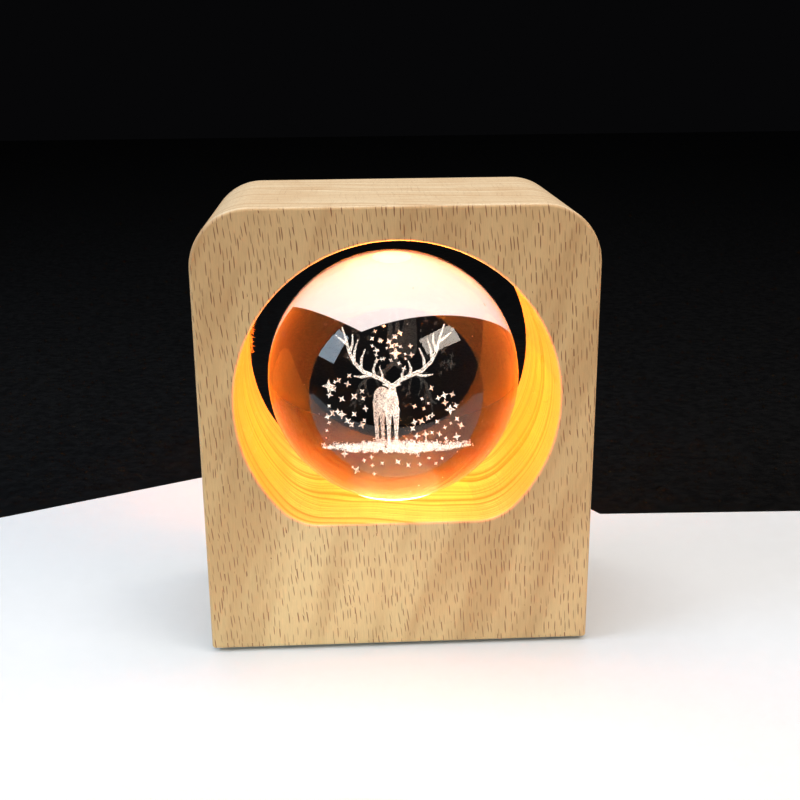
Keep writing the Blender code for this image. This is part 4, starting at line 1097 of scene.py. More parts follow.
@dataclass
class BeechBlock:
    """The beech block, with its window, light well, hollow underside, plug pocket and switch hole.

    Attributes:
        half_x: Half its width.
        half_y: Half its depth.
        base: The height of its underside.
        top: The height of its top.
        corner: The upper corners' radius.
        arris: The rounding of its sanded edges.
        window: The window's radius.
        window_z: The height of the window's centre.
        floor_z: The height of the window's flat floor.
        floor_corner: The radius between floor and wall.
        arc_steps: Chords for each corner of the block and the window.
        over: How far a cutting body runs past the face that it opens.
        bore: The radius of the bore that the soft ring sits in.
        bore_arris: The rounding of its mouth.
        shoulder_z: The height of the shoulder at its foot.
        well: The light well's radius.
        ceiling_z: The height where the well opens into the hollow.
        hollow: The hollow's half width, half depth and top.
        rebate: The half width, half depth and top of the base plate's rebate.
        hollow_corner: The radius of their upright corners.
        plate_screw: How far the base plate's screws stand from the middle, across and deep.
        plate_pilot: Their holes' radius, foot and top.
        board_screw_x: How far the light board's screws stand from the middle.
        board_pilot: Their holes' radius, foot and top.
        inlet: The inlet's place, across and up.
        plug_pocket: The width, height and floor of the pocket for the plug's grip.
        inlet_slot: The width, height and inner end of the slot that the inlet looks out of.
        switch: The switch's place, across and up.
        nut_pocket: The radius and depth of the round pocket for its nut.
        switch_hole: The radius and depth of the hole for its case.
        pocket_arris: The rounding of both pockets' mouths.
        torn: Where the torn fibres start and end round the window, in degrees.
    """

    half_x: float = 44.0 * MM
    half_y: float = 25.0 * MM
    base: float = 0.9 * MM
    top: float = 103.418 * MM
    corner: float = 13.0 * MM
    arris: float = 0.8 * MM
    window: float = 36.0 * MM
    window_z: float = 59.918 * MM
    floor_z: float = 31.518 * MM
    floor_corner: float = 12.0 * MM
    arc_steps: int = 28
    over: float = 1.0 * MM
    bore: float = 11.22 * MM
    bore_arris: float = 0.28 * MM
    shoulder_z: float = 26.4 * MM
    well: float = 9.02 * MM
    ceiling_z: float = 21.5 * MM
    hollow: Point = (31.0 * MM, 18.0 * MM, 22.5 * MM)
    rebate: Point = (38.0 * MM, 21.5 * MM, 4.2 * MM)
    hollow_corner: float = 5.0 * MM
    plate_screw: tuple[float, float] = (34.5 * MM, 14.5 * MM)
    plate_pilot: Point = (1.4 * MM, 3.0 * MM, 11.0 * MM)
    board_screw_x: float = 13.42 * MM
    board_pilot: Point = (1.1 * MM, 21.0 * MM, 27.7 * MM)
    inlet: tuple[float, float] = (16.0 * MM, 13.9 * MM)
    plug_pocket: Point = (12.74 * MM, 7.06 * MM, 20.0 * MM)
    inlet_slot: Point = (9.54 * MM, 3.86 * MM, 17.0 * MM)
    switch: tuple[float, float] = (-16.0 * MM, 13.9 * MM)
    nut_pocket: tuple[float, float] = (6.6 * MM, 3.6 * MM)
    switch_hole: tuple[float, float] = (3.8 * MM, 8.0 * MM)
    pocket_arris: float = 0.25 * MM
    torn: tuple[float, float] = (147.0, 181.0)

    def outline(self) -> list[tuple[float, float]]:
        """Returns the front view: square at the foot, round at the upper corners."""
        inner = self.half_x - self.corner
        rise = self.top - self.corner
        points = [(-self.half_x, self.base), (self.half_x, self.base)]
        points += arc((inner, rise), self.corner, 0.0, math.pi / 2, self.arc_steps)
        return points + arc((-inner, rise), self.corner, math.pi / 2, math.pi, self.arc_steps)

    def window_outline(self) -> list[tuple[float, float]]:
        """Returns the window: a circle cut off by the floor, with round lower corners."""
        inner = self.window - self.floor_corner
        drop = self.window_z - self.floor_z - self.floor_corner
        offset = math.sqrt(inner**2 - drop**2)
        lean = math.atan2(drop, offset)
        height = self.floor_z + self.floor_corner
        left, right = (-offset, height), (offset, height)
        points = arc((0.0, self.window_z), self.window, -lean, math.pi + lean, 240)
        points += arc(left, self.floor_corner, math.pi + lean, math.pi * 1.5, self.arc_steps)[1:]
        return points + arc(right, self.floor_corner, -math.pi / 2, -lean, self.arc_steps)[:-1]

    def seat_and_well(self) -> bmesh.types.BMesh:
        """Makes the body that cuts the soft ring's bore and the light well under it."""
        mouth, soft = self.floor_z, self.bore_arris
        return turned([(0, mouth + self.over), (self.bore + self.over, mouth + self.over),
                       (self.bore + soft, mouth + 0.02 * MM), (self.bore, mouth - soft),
                       (self.bore, self.shoulder_z), (self.well, self.shoulder_z),
                       (self.well, self.ceiling_z), (0, self.ceiling_z)], 128)

    def pilot(self, hole: Point, x: float, y: float) -> bmesh.types.BMesh:
        """Makes the body that drills a screw's hole, from its radius, foot and top."""
        radius, low, high = hole
        return turned([(0, low), (radius, low), (radius, high), (0, high)], 24, centre=(x, y, 0))

    def from_below(self) -> list[bmesh.types.BMesh]:
        """Returns what is cut from below: the hollow, the plate's rebate and the screws' holes."""
        bodies = []
        for half_x, half_y, top in (self.hollow, self.rebate):
            outline = rounded(half_x, half_y, self.hollow_corner)
            bodies.append(loft(((outline, self.base - self.over), (outline, top)), upright))
        screw_x, screw_y = self.plate_screw
        for x in (-screw_x, screw_x):
            bodies += [self.pilot(self.plate_pilot, x, y) for y in (-screw_y, screw_y)]
        return bodies + [self.pilot(self.board_pilot, side * self.board_screw_x, 0) for side in (-1, 1)]

    def from_behind(self) -> list[bmesh.types.BMesh]:
        """Returns what is cut from behind: the plug's pocket, the inlet's slot and the switch's hole."""
        back, soft, over = self.half_y, self.pocket_arris, self.over
        width, height, floor = self.plug_pocket
        mouth, flare, wide = (slot(width + 2 * grown, height + 2 * grown, self.inlet)
                              for grown in (0.0, soft, soft + over))
        pocket = loft(((mouth, floor), (mouth, back - soft), (flare, back), (wide, back + over)), across)
        width, height, end = self.inlet_slot
        inner = slot(width, height, self.inlet)
        slit = loft(((inner, end), (inner, floor + over)), across)
        radius, depth = self.nut_pocket
        hole, end = self.switch_hole
        stepped = [(0, over), (radius + soft + over, over), (radius + soft, 0), (radius, -soft),
                   (radius, -depth), (hole, -depth), (hole, -end), (0, -end)]
        x, z = self.switch
        return [pocket, slit, turned(stepped, 96, Facing.BACK, (x, back, z))]

    def build(self, wood: bpy.types.Material) -> bpy.types.Object:
        """Makes the block.

        Args:
            wood: Its finish.

        Returns:
            The block.
        """
        reach = self.half_y + self.over
        body = loft(((self.outline(), -self.half_y), (self.outline(), self.half_y)), across)
        block = piece_from("beech_block", body, wood)
        window = self.window_outline()
        cut(block, [loft(((window, -reach), (window, reach)), across)])
        round_edges(block, self.arris, 4)
        cut(block, [self.seat_and_well(), *self.from_below(), *self.from_behind()])
        block.data.shade_smooth()
        block.data.set_sharp_from_angle(angle=SMOOTH_ANGLE)
        even = block.modifiers.new("even_normals", "WEIGHTED_NORMAL")
        even.keep_sharp = True
        even.weight = 100
        return settle(block)

    def torn_fibres(self, wood: bpy.types.Material) -> bpy.types.Object:
        """Builds the fibres that the cutter tore up along a stretch of the window's back rim.

        Args:
            wood: Their finish.

        Returns:
            The fibres as one piece.
        """
        bm = bmesh.new()
        first, last = (math.radians(angle) for angle in self.torn)
        pairs = []
        for x, z in arc((0.0, self.window_z), self.window + 0.05 * MM, first, last, 44):
            pairs.append([bm.verts.new((x, y, z)) for y in (self.half_y - 2.2 * MM, self.half_y - 0.9 * MM)])
        for low, high in zip(pairs, pairs[1:]):
            face = bm.faces.new((low[0], low[1], high[1], high[0]))
            face.normal_update()
            if face.normal.x < 0:
                face.normal_flip()
        fibres = piece_from("torn_fibres", bm)
        sizes = {"Density": 9.0e6, "Length": 1.2 * MM, "Width": 0.12 * MM, "Seed": 5}
        return grow(fibres, fibres_tree(wood), sizes)

    def dress(self) -> None:
        """Builds the block and puts it in its place."""
        wood = Beech("oiled_beech", (0.685, 0.430, 0.206), 0.52, relief=0.05 * MM, window=self.window,
                     window_z=self.window_z, half_y=self.half_y).make()
        mount(self.build(wood), Body.BLOCK, "beech", "wood_block")
        mount(self.torn_fibres(wood), Body.BLOCK, "beech")


@dataclass
class CrystalBall:
    """The clear glass ball.

    Attributes:
        radius: Its radius.
        steps: The sphere's subdivisions.
    """

    radius: float = 30.0 * MM
    steps: int = 6

    def centre(self) -> Vector:
        """Returns the ball's centre in the frame."""
        low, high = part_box("crystal_ball")
        return (low + high) / 2

    def dress(self) -> None:
        """Builds the ball and puts it in its place."""
        bm = bmesh.new()
        bmesh.ops.create_icosphere(bm, subdivisions=self.steps + 1, radius=self.radius)
        bmesh.ops.translate(bm, verts=bm.verts[:], vec=self.centre())
        glass = Crystal("polished_crystal", (1.0, 1.0, 1.0), 0.0).make()
        ball = piece_from("glass_ball", bm, glass)
        ball.visible_shadow = False
        mount(ball, Body.BALL, "crystal_glass", "crystal_ball")


@dataclass
class Engraving:
    """The picture of tiny cracks inside the ball: a stag on a snowy strip under falling stars.

    Attributes:
        foot: The height of the stag's feet below the ball's centre.
        shift: How far the stag stands to the left of the centre.
        grain: The size of a crack.
        scale: The picture's size against its drawing in millimetres.
    """

    foot: float = 11.0 * MM
    shift: float = -0.3 * MM
    grain: float = 0.065 * MM
    scale: float = 1.07

    def limb(self, bm: bmesh.types.BMesh, path: Sequence[Point], radii: Sequence[float],
             sides: int = 8) -> None:
        """Adds a round tapering limb, in millimetres.

        Args:
            bm: Where it goes.
            path: Its points.
            radii: Its radius at each.
            sides: The steps round.
        """
        spots = [Vector(point) for point in path]
        rings = []
        for index, (spot, radius) in enumerate(zip(spots, radii)):
            way = (spots[min(index + 1, len(spots) - 1)] - spots[max(index - 1, 0)]).normalized()
            first = way.cross(Vector((0, 1, 0)) if abs(way.y) < 0.9 else Vector((1, 0, 0))).normalized()
            second = way.cross(first)
            ring = []
            for side in range(sides):
                angle = 2 * math.pi * side / sides
                spoke = first * math.cos(angle) + second * math.sin(angle)
                ring.append(bm.verts.new(spot + spoke * radius))
            rings.append(ring)
        for low, high in zip(rings, rings[1:]):
            for side in range(sides):
                after = (side + 1) % sides
                bm.faces.new((low[side], low[after], high[after], high[side]))
        bm.faces.new(rings[0])
        bm.faces.new(rings[-1])

    def lump(self, bm: bmesh.types.BMesh, centre: Point, radii: Point, lean: float = 0.0,
             turn: float = 0.0) -> None:
        """Adds an egg shape, in millimetres.

        Args:
            bm: Where it goes.
            centre: Its centre.
            radii: Its half axes.
            lean: Its turn about X.
            turn: Its turn about Z.
        """
        spin = Matrix.Rotation(turn, 4, "Z") @ Matrix.Rotation(lean, 4, "X")
        matrix = Matrix.Translation(centre) @ spin @ Matrix.Diagonal((*radii, 1.0))
        bmesh.ops.create_icosphere(bm, subdivisions=2, radius=1.0, matrix=matrix)

    def stag(self) -> bmesh.types.BMesh:
        """Models the stag, in millimetres, its feet at zero and its head towards -Y."""
        bm = bmesh.new()
        self.lump(bm, (-0.50, 1.2, 5.95), (1.10, 2.9, 1.50), turn=0.32)
        self.lump(bm, (-1.15, 3.2, 6.05), (1.15, 1.4, 1.50), turn=0.32)
        self.lump(bm, (0.02, -0.8, 6.05), (0.98, 1.3, 1.70), 0.25)
        self.lump(bm, (0.02, -1.4, 5.35), (0.62, 0.7, 1.00), 0.20)
        for path, radii in (
                (((-0.52, -1.0, 5.4), (-0.50, -1.2, 2.7), (-0.46, -1.1, 0.5), (-0.46, -1.2, 0.0)),
                 (0.54, 0.27, 0.19, 0.27)),
                (((0.58, -0.9, 5.4), (0.62, -1.1, 2.7), (0.60, -1.0, 0.5), (0.60, -1.1, 0.0)),
                 (0.54, 0.27, 0.19, 0.27)),
                (((-1.75, 3.0, 5.6), (-1.95, 3.9, 2.9), (-1.82, 3.5, 0.5), (-1.82, 3.4, 0.0)),
                 (0.74, 0.30, 0.20, 0.27)),
                (((-0.90, 3.6, 5.5), (-1.10, 4.5, 2.9), (-1.00, 4.1, 0.5), (-1.00, 4.0, 0.0)),
                 (0.66, 0.28, 0.19, 0.26))):
            self.limb(bm, path, radii)
        self.limb(bm, [(0.0, -1.1, 6.6), (0.02, -1.5, 7.8), (0.0, -1.8, 8.8)], [0.92, 0.64, 0.48])
        self.lump(bm, (0.0, -1.8, 7.1), (0.50, 0.50, 0.95))
        self.lump(bm, (0.0, -2.3, 8.8), (0.48, 0.88, 0.54), 0.5)
        self.lump(bm, (0.0, -3.1, 8.28), (0.27, 0.45, 0.27))
        for side in (-1, 1):
            ear = [(0.36 * side, -1.9, 9.0), (0.95 * side, -1.8, 9.3), (1.40 * side, -1.8, 9.2)]
            self.limb(bm, ear, [0.24, 0.22, 0.08])
        return bm

    def antlers(self) -> bmesh.types.BMesh:
        """Models the two antlers, each a main beam with its tines, in millimetres."""
        bm = bmesh.new()
        for side, reach in ((-1, 1.0), (1, 1.06)):
            def at(x: float, z: float, y: float = -1.7) -> Point:
                """Places a point of one antler."""
                return (x * side * reach, y, z)
            beam = [at(0.28, 9.1), at(1.25, 9.9), at(2.7, 10.6), at(4.3, 11.3), at(5.7, 12.7), at(6.6, 14.6),
                    at(7.1, 16.6), at(7.9, 18.9)]
            self.limb(bm, beam, [0.30, 0.28, 0.26, 0.25, 0.23, 0.20, 0.15, 0.06], 7)
            for path in ([at(1.5, 10.0), at(1.45, 10.9, -2.1), at(1.9, 12.2, -2.3)],
                         [at(3.3, 10.8), at(4.7, 10.6, -2.2), at(5.9, 10.9, -2.5)],
                         [at(2.6, 10.5), at(2.75, 11.5, -1.2), at(2.4, 12.7, -1.0)],
                         [at(4.7, 11.7), at(4.6, 13.1, -1.2), at(4.0, 14.7, -0.9)],
                         [at(5.8, 12.9), at(5.7, 14.5, -1.3), at(5.2, 16.3, -1.1)],
                         [at(6.5, 14.4), at(6.1, 16.1, -2.0), at(6.2, 17.7, -2.2)],
                         [at(6.9, 15.8), at(7.9, 16.7, -1.9), at(8.9, 17.6, -2.0)]):
                self.limb(bm, path, [0.19, 0.15, 0.05], 6)
        return bm

    def ground(self) -> bmesh.types.BMesh:
        """Makes the low mound of snow with short blades of grass on it, in millimetres."""
        bm = bmesh.new()
        chance = random.Random(9)
        for _ in range(230):
            x = chance.uniform(-1.0, 1.0)
            swell = 1.0 - abs(x)**2.2
            y = chance.uniform(-2.6, 2.6) * swell
            size = chance.uniform(0.16, 0.40) * (0.20 + 0.80 * swell)
            rise = -0.55 + chance.uniform(-0.55, 0.45) * swell
            self.lump(bm, (0.8 + 11.0 * x, y, rise), (size * 1.5, size * 1.3, size))
        for _ in range(110):
            x = chance.uniform(-10.0, 11.4)
            rise = chance.uniform(0.15, 0.75) * (1.0 - abs(x - 0.8) / 12.5)
            y = chance.uniform(-2.2, 2.0)
            lean = chance.uniform(-0.3, 0.3)
            self.limb(bm, [(x, y, -0.35), (x + lean, y, rise - 0.10)], [0.12, 0.05], 5)
        return bm

    def star(self) -> bpy.types.Object:
        """Makes one four-pointed star, a flat crystal 1 mm across, that faces the front."""
        bm = bmesh.new()
        rim = []
        for step in range(8):
            radius = (0.60 if step % 2 == 0 else 0.23) * MM
            angle = math.pi / 4 * step
            rim.append(bm.verts.new((radius * math.cos(angle), 0.0, radius * math.sin(angle))))
        for depth in (-0.16 * MM, 0.16 * MM):
            tip = bm.verts.new((0.0, depth, 0.0))
            for step in range(8):
                bm.faces.new((rim[step], rim[(step + 1) % 8], tip))
        bmesh.ops.recalc_face_normals(bm, faces=bm.faces[:])
        return piece_from("star_shape", bm)

    def fields(self, outlines: Sequence[Profile]) -> bmesh.types.BMesh:
        """Makes upright fields that stars lie in, in millimetres.

        Args:
            outlines: Their outlines from the front.

        Returns:
            The fields.
        """
        bm = bmesh.new()
        for outline in outlines:
            bm.faces.new([bm.verts.new((x, 0.0, z)) for x, z in outline])
        return bm

    def heavens(self, centre: Vector, feet: Vector, white: bpy.types.Material,
                grains: bpy.types.NodeTree) -> bpy.types.Object:
        """Strews the stars and the fine points round them.

        Args:
            centre: The ball's centre.
            feet: Where the stag stands.
            white: The finish.
            grains: The tree that makes grains.

        Returns:
            All stars as one piece.
        """
        star = self.star()
        tree = stars_tree(white)
        wide = (((-10.4, 2.2), (-3.4, 2.2), (-3.4, 7.6), (-6.0, 9.6), (-9.6, 9.4)),
                ((2.8, 0.8), (9.8, 0.8), (10.0, 5.6), (8.2, 8.2), (3.6, 7.2)),
                ((-6.2, -4.6), (-1.4, -4.6), (-1.2, -1.5), (-7.0, -1.5)),
                ((0.6, -3.6), (7.8, -3.2), (8.6, -1.5), (0.8, -1.5)))
        near = (((-2.6, 12.4), (3.4, 11.0), (3.0, 14.6), (0.4, 17.6), (-3.4, 17.2)),)
        strewn = []
        for outlines, apart, seed in ((wide, 1.15 * MM, 6), (near, 0.66 * MM, 8)):
            field = self.placed("star_field", self.fields(outlines), feet)
            values = {"Star": star, "Density": 2.0e6, "Apart": apart, "Depth": 3.5 * MM, "Seed": seed}
            strewn.append(grow(field, tree, values))
        for spot, size in (((-9.3, 0.5, 8.6), 1.9), ((8.6, -0.6, 4.9), 1.5), ((0.7, 0.0, 13.6), 1.7),
                           ((-7.2, 0.8, 4.2), 1.3)):
            shape = bmesh.new()
            shape.from_mesh(star.data)
            bmesh.ops.scale(shape, vec=(size, size, size), verts=shape.verts[:])
            bmesh.ops.translate(shape, verts=shape.verts[:], vec=Vector(spot) * self.scale * MM + feet)
            strewn.append(piece_from("large_star", shape, white))
        bpy.data.objects.remove(star, do_unlink=True)
        shell = bmesh.new()
        bmesh.ops.create_icosphere(shell, subdivisions=4, radius=23.0 * MM, matrix=Matrix.Translation(centre))
        points = piece_from("fine_points", shell)
        values = {"Density": 9.0e3, "Size": 0.07 * MM, "Scatter": 3.0 * MM, "Seed": 12}
        strewn.append(grow(points, grains, values))
        return joined("engraved_stars", strewn, white)

    def placed(self, name: str, bm: bmesh.types.BMesh, feet: Vector) -> bpy.types.Object:
        """Scales a body from millimetres and sets it in the ball.

        Args:
            name: The object's name.
            bm: The body.
            feet: Where its zero lies.

        Returns:
            The object.
        """
        size = self.scale * MM
        bmesh.ops.scale(bm, vec=(size, size, size), verts=bm.verts[:])
        bmesh.ops.translate(bm, verts=bm.verts[:], vec=feet)
        return piece_from(name, bm)

    def dress(self, centre: Vector) -> None:
        """Builds the engraving and lets it ride on the ball.

        Args:
            centre: The ball's centre.
        """
        # The engraving's white is a painted glow, an emission on a near-black base.
        white = Etched("engraved_glow", (0.02, 0.02, 0.02), 0.6).make()
        grains = grains_tree(white)
        feet = centre + Vector((self.shift, 0.0, -self.foot))
        body = self.placed("stag_body", self.stag(), feet)
        skin = body.modifiers.new("one_skin", "REMESH")
        skin.mode = "VOXEL"
        skin.voxel_size = 0.11 * MM
        settle(body)
        grow(body, grains, {"Density": 8.0e7, "Size": self.grain, "Scatter": 0.04 * MM, "Seed": 2})
        antlers = self.placed("stag_antlers", self.antlers(), feet)
        grow(antlers, grains, {"Density": 8.5e7, "Size": self.grain, "Scatter": 0.04 * MM, "Seed": 3})
        stag = joined("engraved_stag", [body, antlers], white)
        snow = self.placed("engraved_snow", self.ground(), feet)
        grow(snow, grains, {"Density": 4.4e7, "Size": self.grain, "Scatter": 0.13 * MM, "Seed": 4})
        sky = self.heavens(centre, feet, white, grains)
        for piece in (stag, snow, sky):
            piece.visible_shadow = False
            mount(piece, Body.BALL, "crystal_glass")


@dataclass
class LightSeat:
    """What carries and lights the ball: the soft ring, the frosted disc and the board of lamps.

    Attributes:
        segments: The steps round.
        width: The ring's width.
        gap: The ring's distance from the ball.
        steps: Chords over the ring's hollow top.
    """

    segments: int = 128
    width: float = 2.2 * MM
    gap: float = 0.3 * MM
    steps: int = 12

    def ring(self) -> bpy.types.Object:
        """Builds the soft ring, whose top follows the ball."""
        low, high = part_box("ball_seat_ring")
        ball_low, ball_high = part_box("crystal_ball")
        radius = (ball_high.z - ball_low.z) / 2 + self.gap
        centre = (ball_high.z + ball_low.z) / 2
        outer = high.x
        inner = outer - self.width
        profile = [(inner, low.z)]
        for step in range(self.steps + 1):
            reach = inner + (outer - inner) * step / self.steps
            profile.append((reach, centre - math.sqrt(radius**2 - reach**2)))
        profile.append((outer, low.z))
        soft = Glow("glowing_silicone", (0.95, 0.88, 0.72), 0.35, light=(1.0, 0.45, 0.14), strength=9.0,
                    inner=8.0 * MM, outer=11.5 * MM, floor=0.7, clear=0.3).make()
        return piece_from("soft_seat_ring", turned(profile, self.segments), soft)

    def disc(self) -> bpy.types.Object:
        """Builds the frosted disc."""
        low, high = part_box("light_diffuser")
        profile = softened([(0, low.z), (high.x, low.z), (high.x, high.z), (0, high.z)], 0.25 * MM)
        frosted = Glow("lit_acrylic", (1.0, 0.93, 0.80), 0.45, light=(1.0, 0.47, 0.15), strength=22.0).make()
        return piece_from("frosted_disc", turned(profile, self.segments), frosted)

    def dress(self, nodes: dict[str, bpy.types.Object]) -> None:
        """Builds the seat and finishes the board below it.

        Args:
            nodes: The CAD nodes.
        """
        mount(self.ring(), Body.SEAT, "clear_silicone", "ball_seat_ring")
        mount(self.disc(), Body.BLOCK, "frosted_acrylic", "light_diffuser")
        lamp = Glow("lit_phosphor", (1.0, 0.82, 0.40), 0.4, light=(1.0, 0.74, 0.36), strength=14.0,
                    inner=5.0 * MM, outer=12.0 * MM, floor=0.8).make()
        paint(nodes, lamp, "led_chip_1", "led_chip_2", "led_chip_3", "led_chip_4")
        paint(nodes, Finish("white_solder_mask", (0.84, 0.84, 0.81), 0.35, spread=0.08).make(), "light_board")


def paint(nodes: dict[str, bpy.types.Object], material: bpy.types.Material, *names: str) -> None:
    """Gives CAD nodes a finish.

    Args:
        nodes: The CAD nodes.
        material: The finish.
        *names: Which ones.
    """
    for name in names:
        for place in nodes[name].material_slots:
            place.material = material


@dataclass
class PushSwitch:
    """The push switch at the back: case, button, nut, washer, base, spring and lugs.

    Attributes:
        x: Its axis.
        y: The block's back face, where its heights start.
        z: Its axis's height.
    """

    x: float = -16.0 * MM
    y: float = 25.0 * MM
    z: float = 13.9 * MM

    def spun(self, name: str, profile: Profile, rounding: float,
             material: bpy.types.Material) -> bpy.types.Object:
        """Turns one part of the switch about its axis.

        Args:
            name: The piece's name.
            profile: Radius and height, in millimetres.
            rounding: The rounding of its corners, in millimetres.
            material: Its finish.

        Returns:
            The piece.
        """
        points = [(radius * MM, height * MM) for radius, height in profile]
        if rounding:
            points = softened(points, rounding * MM)
        return piece_from(name, turned(points, 72, Facing.BACK, (self.x, self.y, self.z)), material)

    def case_profile(self) -> Profile:
        """Returns the case's profile, with the thread as ring grooves."""
        points = [(4.0, -15.8), (4.85, -15.8), (5.0, -15.65), (5.0, -7.45), (4.85, -7.3), (3.5, -7.3)]
        for turn in range(1, 9):
            height = -7.3 + 0.75 * turn
            points += [(3.5, height - 0.2), (3.3, height - 0.03), (3.3, height + 0.03), (3.5, height + 0.2)]
        return points + [(3.5, -0.45), (3.38, -0.3), (2.82, -0.3), (2.7, -0.42), (2.7, -8.3), (4.0, -8.3)]

    def nut(self, nickel: bpy.types.Material) -> bpy.types.Object:
        """Builds the hexagon nut with its turned chamfer."""
        base, height, flat = -2.5 * MM, 2.0 * MM, 4.5 * MM
        corner = flat / math.cos(math.pi / 6)
        outline = arc((0.0, 0.0), corner, 0.0, 2 * math.pi, 6)[:-1]
        nut = piece_from("hexagon_nut", loft(((outline, base), (outline, base + height)), upright), nickel)
        top = base + height
        bore = [(0, base - MM), (3.8 * MM, base - MM), (3.8 * MM, top - 0.25 * MM), (4.05 * MM, top),
                (5.05 * MM, top + MM), (0, top + MM)]
        rim = [(flat, top + MM), (flat, top), (corner, top - 0.4 * MM), (corner + MM, top - 0.4 * MM),
               (corner + MM, top + MM)]
        cut(nut, [turned(bore, 64), turned(rim, 96)])
        turn = Matrix.Rotation(-math.pi / 2, 4, "X")
        nut.data.transform(Matrix.Translation((self.x, self.y, self.z)) @ turn)
        nut.data.shade_smooth()
        nut.data.set_sharp_from_angle(angle=math.radians(25))
        return nut

    def spring(self, steel: bpy.types.Material) -> None:
        """Winds the spring between the base and the button; the real spring shortens as the button goes in,
        but this coil keeps its length.
        """
        low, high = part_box("switch_spring")
        wire = 0.2 * MM
        radius = (high.x - low.x) / 2 - wire
        coil = piece_from("spring_coil", bmesh.new(), steel)
        values = {"Turns": 4.0, "Radius": radius, "Height": high.y - low.y - 2 * wire, "Wire": wire}
        grow(coil, coil_tree(steel), values)
        turn = Matrix.Rotation(-math.pi / 2, 4, "X")
        coil.data.transform(Matrix.Translation((self.x, low.y + wire, self.z)) @ turn)
        coil.data.shade_smooth()
        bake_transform(coil)
        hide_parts("switch_spring")
        log.info("%s shortens between block and button, %d faces", coil.name, len(coil.data.polygons))

    def dress(self, nodes: dict[str, bpy.types.Object]) -> None:
        """Builds the switch.

        Args:
            nodes: The CAD nodes.
        """
        black = Finish("switch_black", (0.022, 0.022, 0.024), 0.34, density=5000.0).make()
        nickel = Finish("nickel_plate", (0.66, 0.64, 0.60), 0.24, metallic=1.0, spread=0.10).make()
        button = [(0, -9.6), (3.7, -9.6), (3.7, -8.6), (2.4, -8.6), (2.4, 2.8)]
        button += arc((1.8, 2.8), 0.6, 0.0, math.pi / 2, 8)[1:] + [(1.2, 3.36), (0, 3.26)]
        mount(self.spun("push_button", button, 0.0, black), Body.BUTTON, "switch_plastic", "switch_button")
        case = self.spun("threaded_case", self.case_profile(), 0.0, black)
        mount(case, Body.BLOCK, "switch_plastic", "switch_case")
        washer = [(3.8, -3.3), (5.4, -3.3), (5.4, -2.8), (3.8, -2.8)]
        mount(self.spun("plain_washer", washer, 0.12, nickel), Body.BLOCK, "nickel", "switch_washer")
        mount(self.nut(nickel), Body.BLOCK, "nickel", "switch_nut")
        self.spring(Finish("spring_wire", (0.60, 0.60, 0.62), 0.28, metallic=1.0).make())
        paint(nodes, Finish("brown_resin", (0.16, 0.065, 0.03), 0.5).make(), "switch_base")
        brass = Finish("tinned_brass", (0.68, 0.56, 0.30), 0.35, metallic=1.0).make()
        paint(nodes, brass, "switch_lug_1", "switch_lug_2")


@dataclass
class ChargingInlet:
    """The charging inlet: a drawn steel shell and the tongue inside it.

    Attributes:
        middle: Its place, across and up.
        width: The shell's width.
        height: The shell's height.
        wall: The sheet's thickness.
        lip: The rounding of the shell's mouth.
        back: The thickness of the shell's closed end.
    """

    middle: tuple[float, float] = (16.0 * MM, 13.9 * MM)
    width: float = 8.94 * MM
    height: float = 3.26 * MM
    wall: float = 0.3 * MM
    lip: float = 0.08 * MM
    back: float = 0.5 * MM

    def shell(self, steel: bpy.types.Material) -> bpy.types.Object:
        """Builds the shell, open at its mouth."""
        low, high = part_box("inlet_shell")
        outer, lip, inner = (slot(self.width - less, self.height - less, self.middle)
                             for less in (0.0, self.wall, 2 * self.wall))
        levels = ((outer, low.y), (outer, high.y - self.lip), (lip, high.y), (inner, high.y - self.lip),
                  (inner, low.y + self.back))
        return piece_from("inlet_can", loft(levels, across), steel)

    def dress(self, nodes: dict[str, bpy.types.Object]) -> None:
        """Builds the inlet.

        Args:
            nodes: The CAD nodes.
        """
        steel = Finish("drawn_steel", (0.62, 0.62, 0.63), 0.26, metallic=1.0, spread=0.10).make()
        mount(self.shell(steel), Body.BLOCK, "inlet_steel", "inlet_shell")
        paint(nodes, Finish("tongue_black", (0.02, 0.02, 0.02), 0.45).make(), "inlet_tongue")


@dataclass
class Underside:
    """The base plate with its screws and feet.

    Attributes:
        foot_height: The feet's height.
        foot_round: The rounding of their edges.
    """

    foot_height: float = 0.6 * MM
    foot_round: float = 0.15 * MM

    def dress(self, nodes: dict[str, bpy.types.Object]) -> None:
        """Builds the feet and screws and finishes the plate.

        Args:
            nodes: The CAD nodes.
        """
        plate = Finish("moulded_black", (0.028, 0.028, 0.028), 0.52, density=6000.0, relief=0.03 * MM)
        paint(nodes, plate.make(), "base_plate")
        foam = Finish("foot_rubber", (0.035, 0.035, 0.035), 0.9, density=4000.0, relief=0.06 * MM)
        low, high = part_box("foot_pad_1")
        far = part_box("foot_pad_4")[1]
        radius = (high.x - low.x) / 2
        side = [(0, 0), (radius, 0), (radius, self.foot_height), (0, self.foot_height)]
        feet = piece_from("foam_feet", turned(softened(side, self.foot_round), 64))
        grow(feet, copies_tree(foam.make()), {"Width": 2 * (far.x - radius), "Depth": 2 * (far.y - radius)})
        mount(feet, Body.BLOCK, "foot_foam", "foot_pad_1", "foot_pad_2", "foot_pad_3", "foot_pad_4")
        Screws().dress()


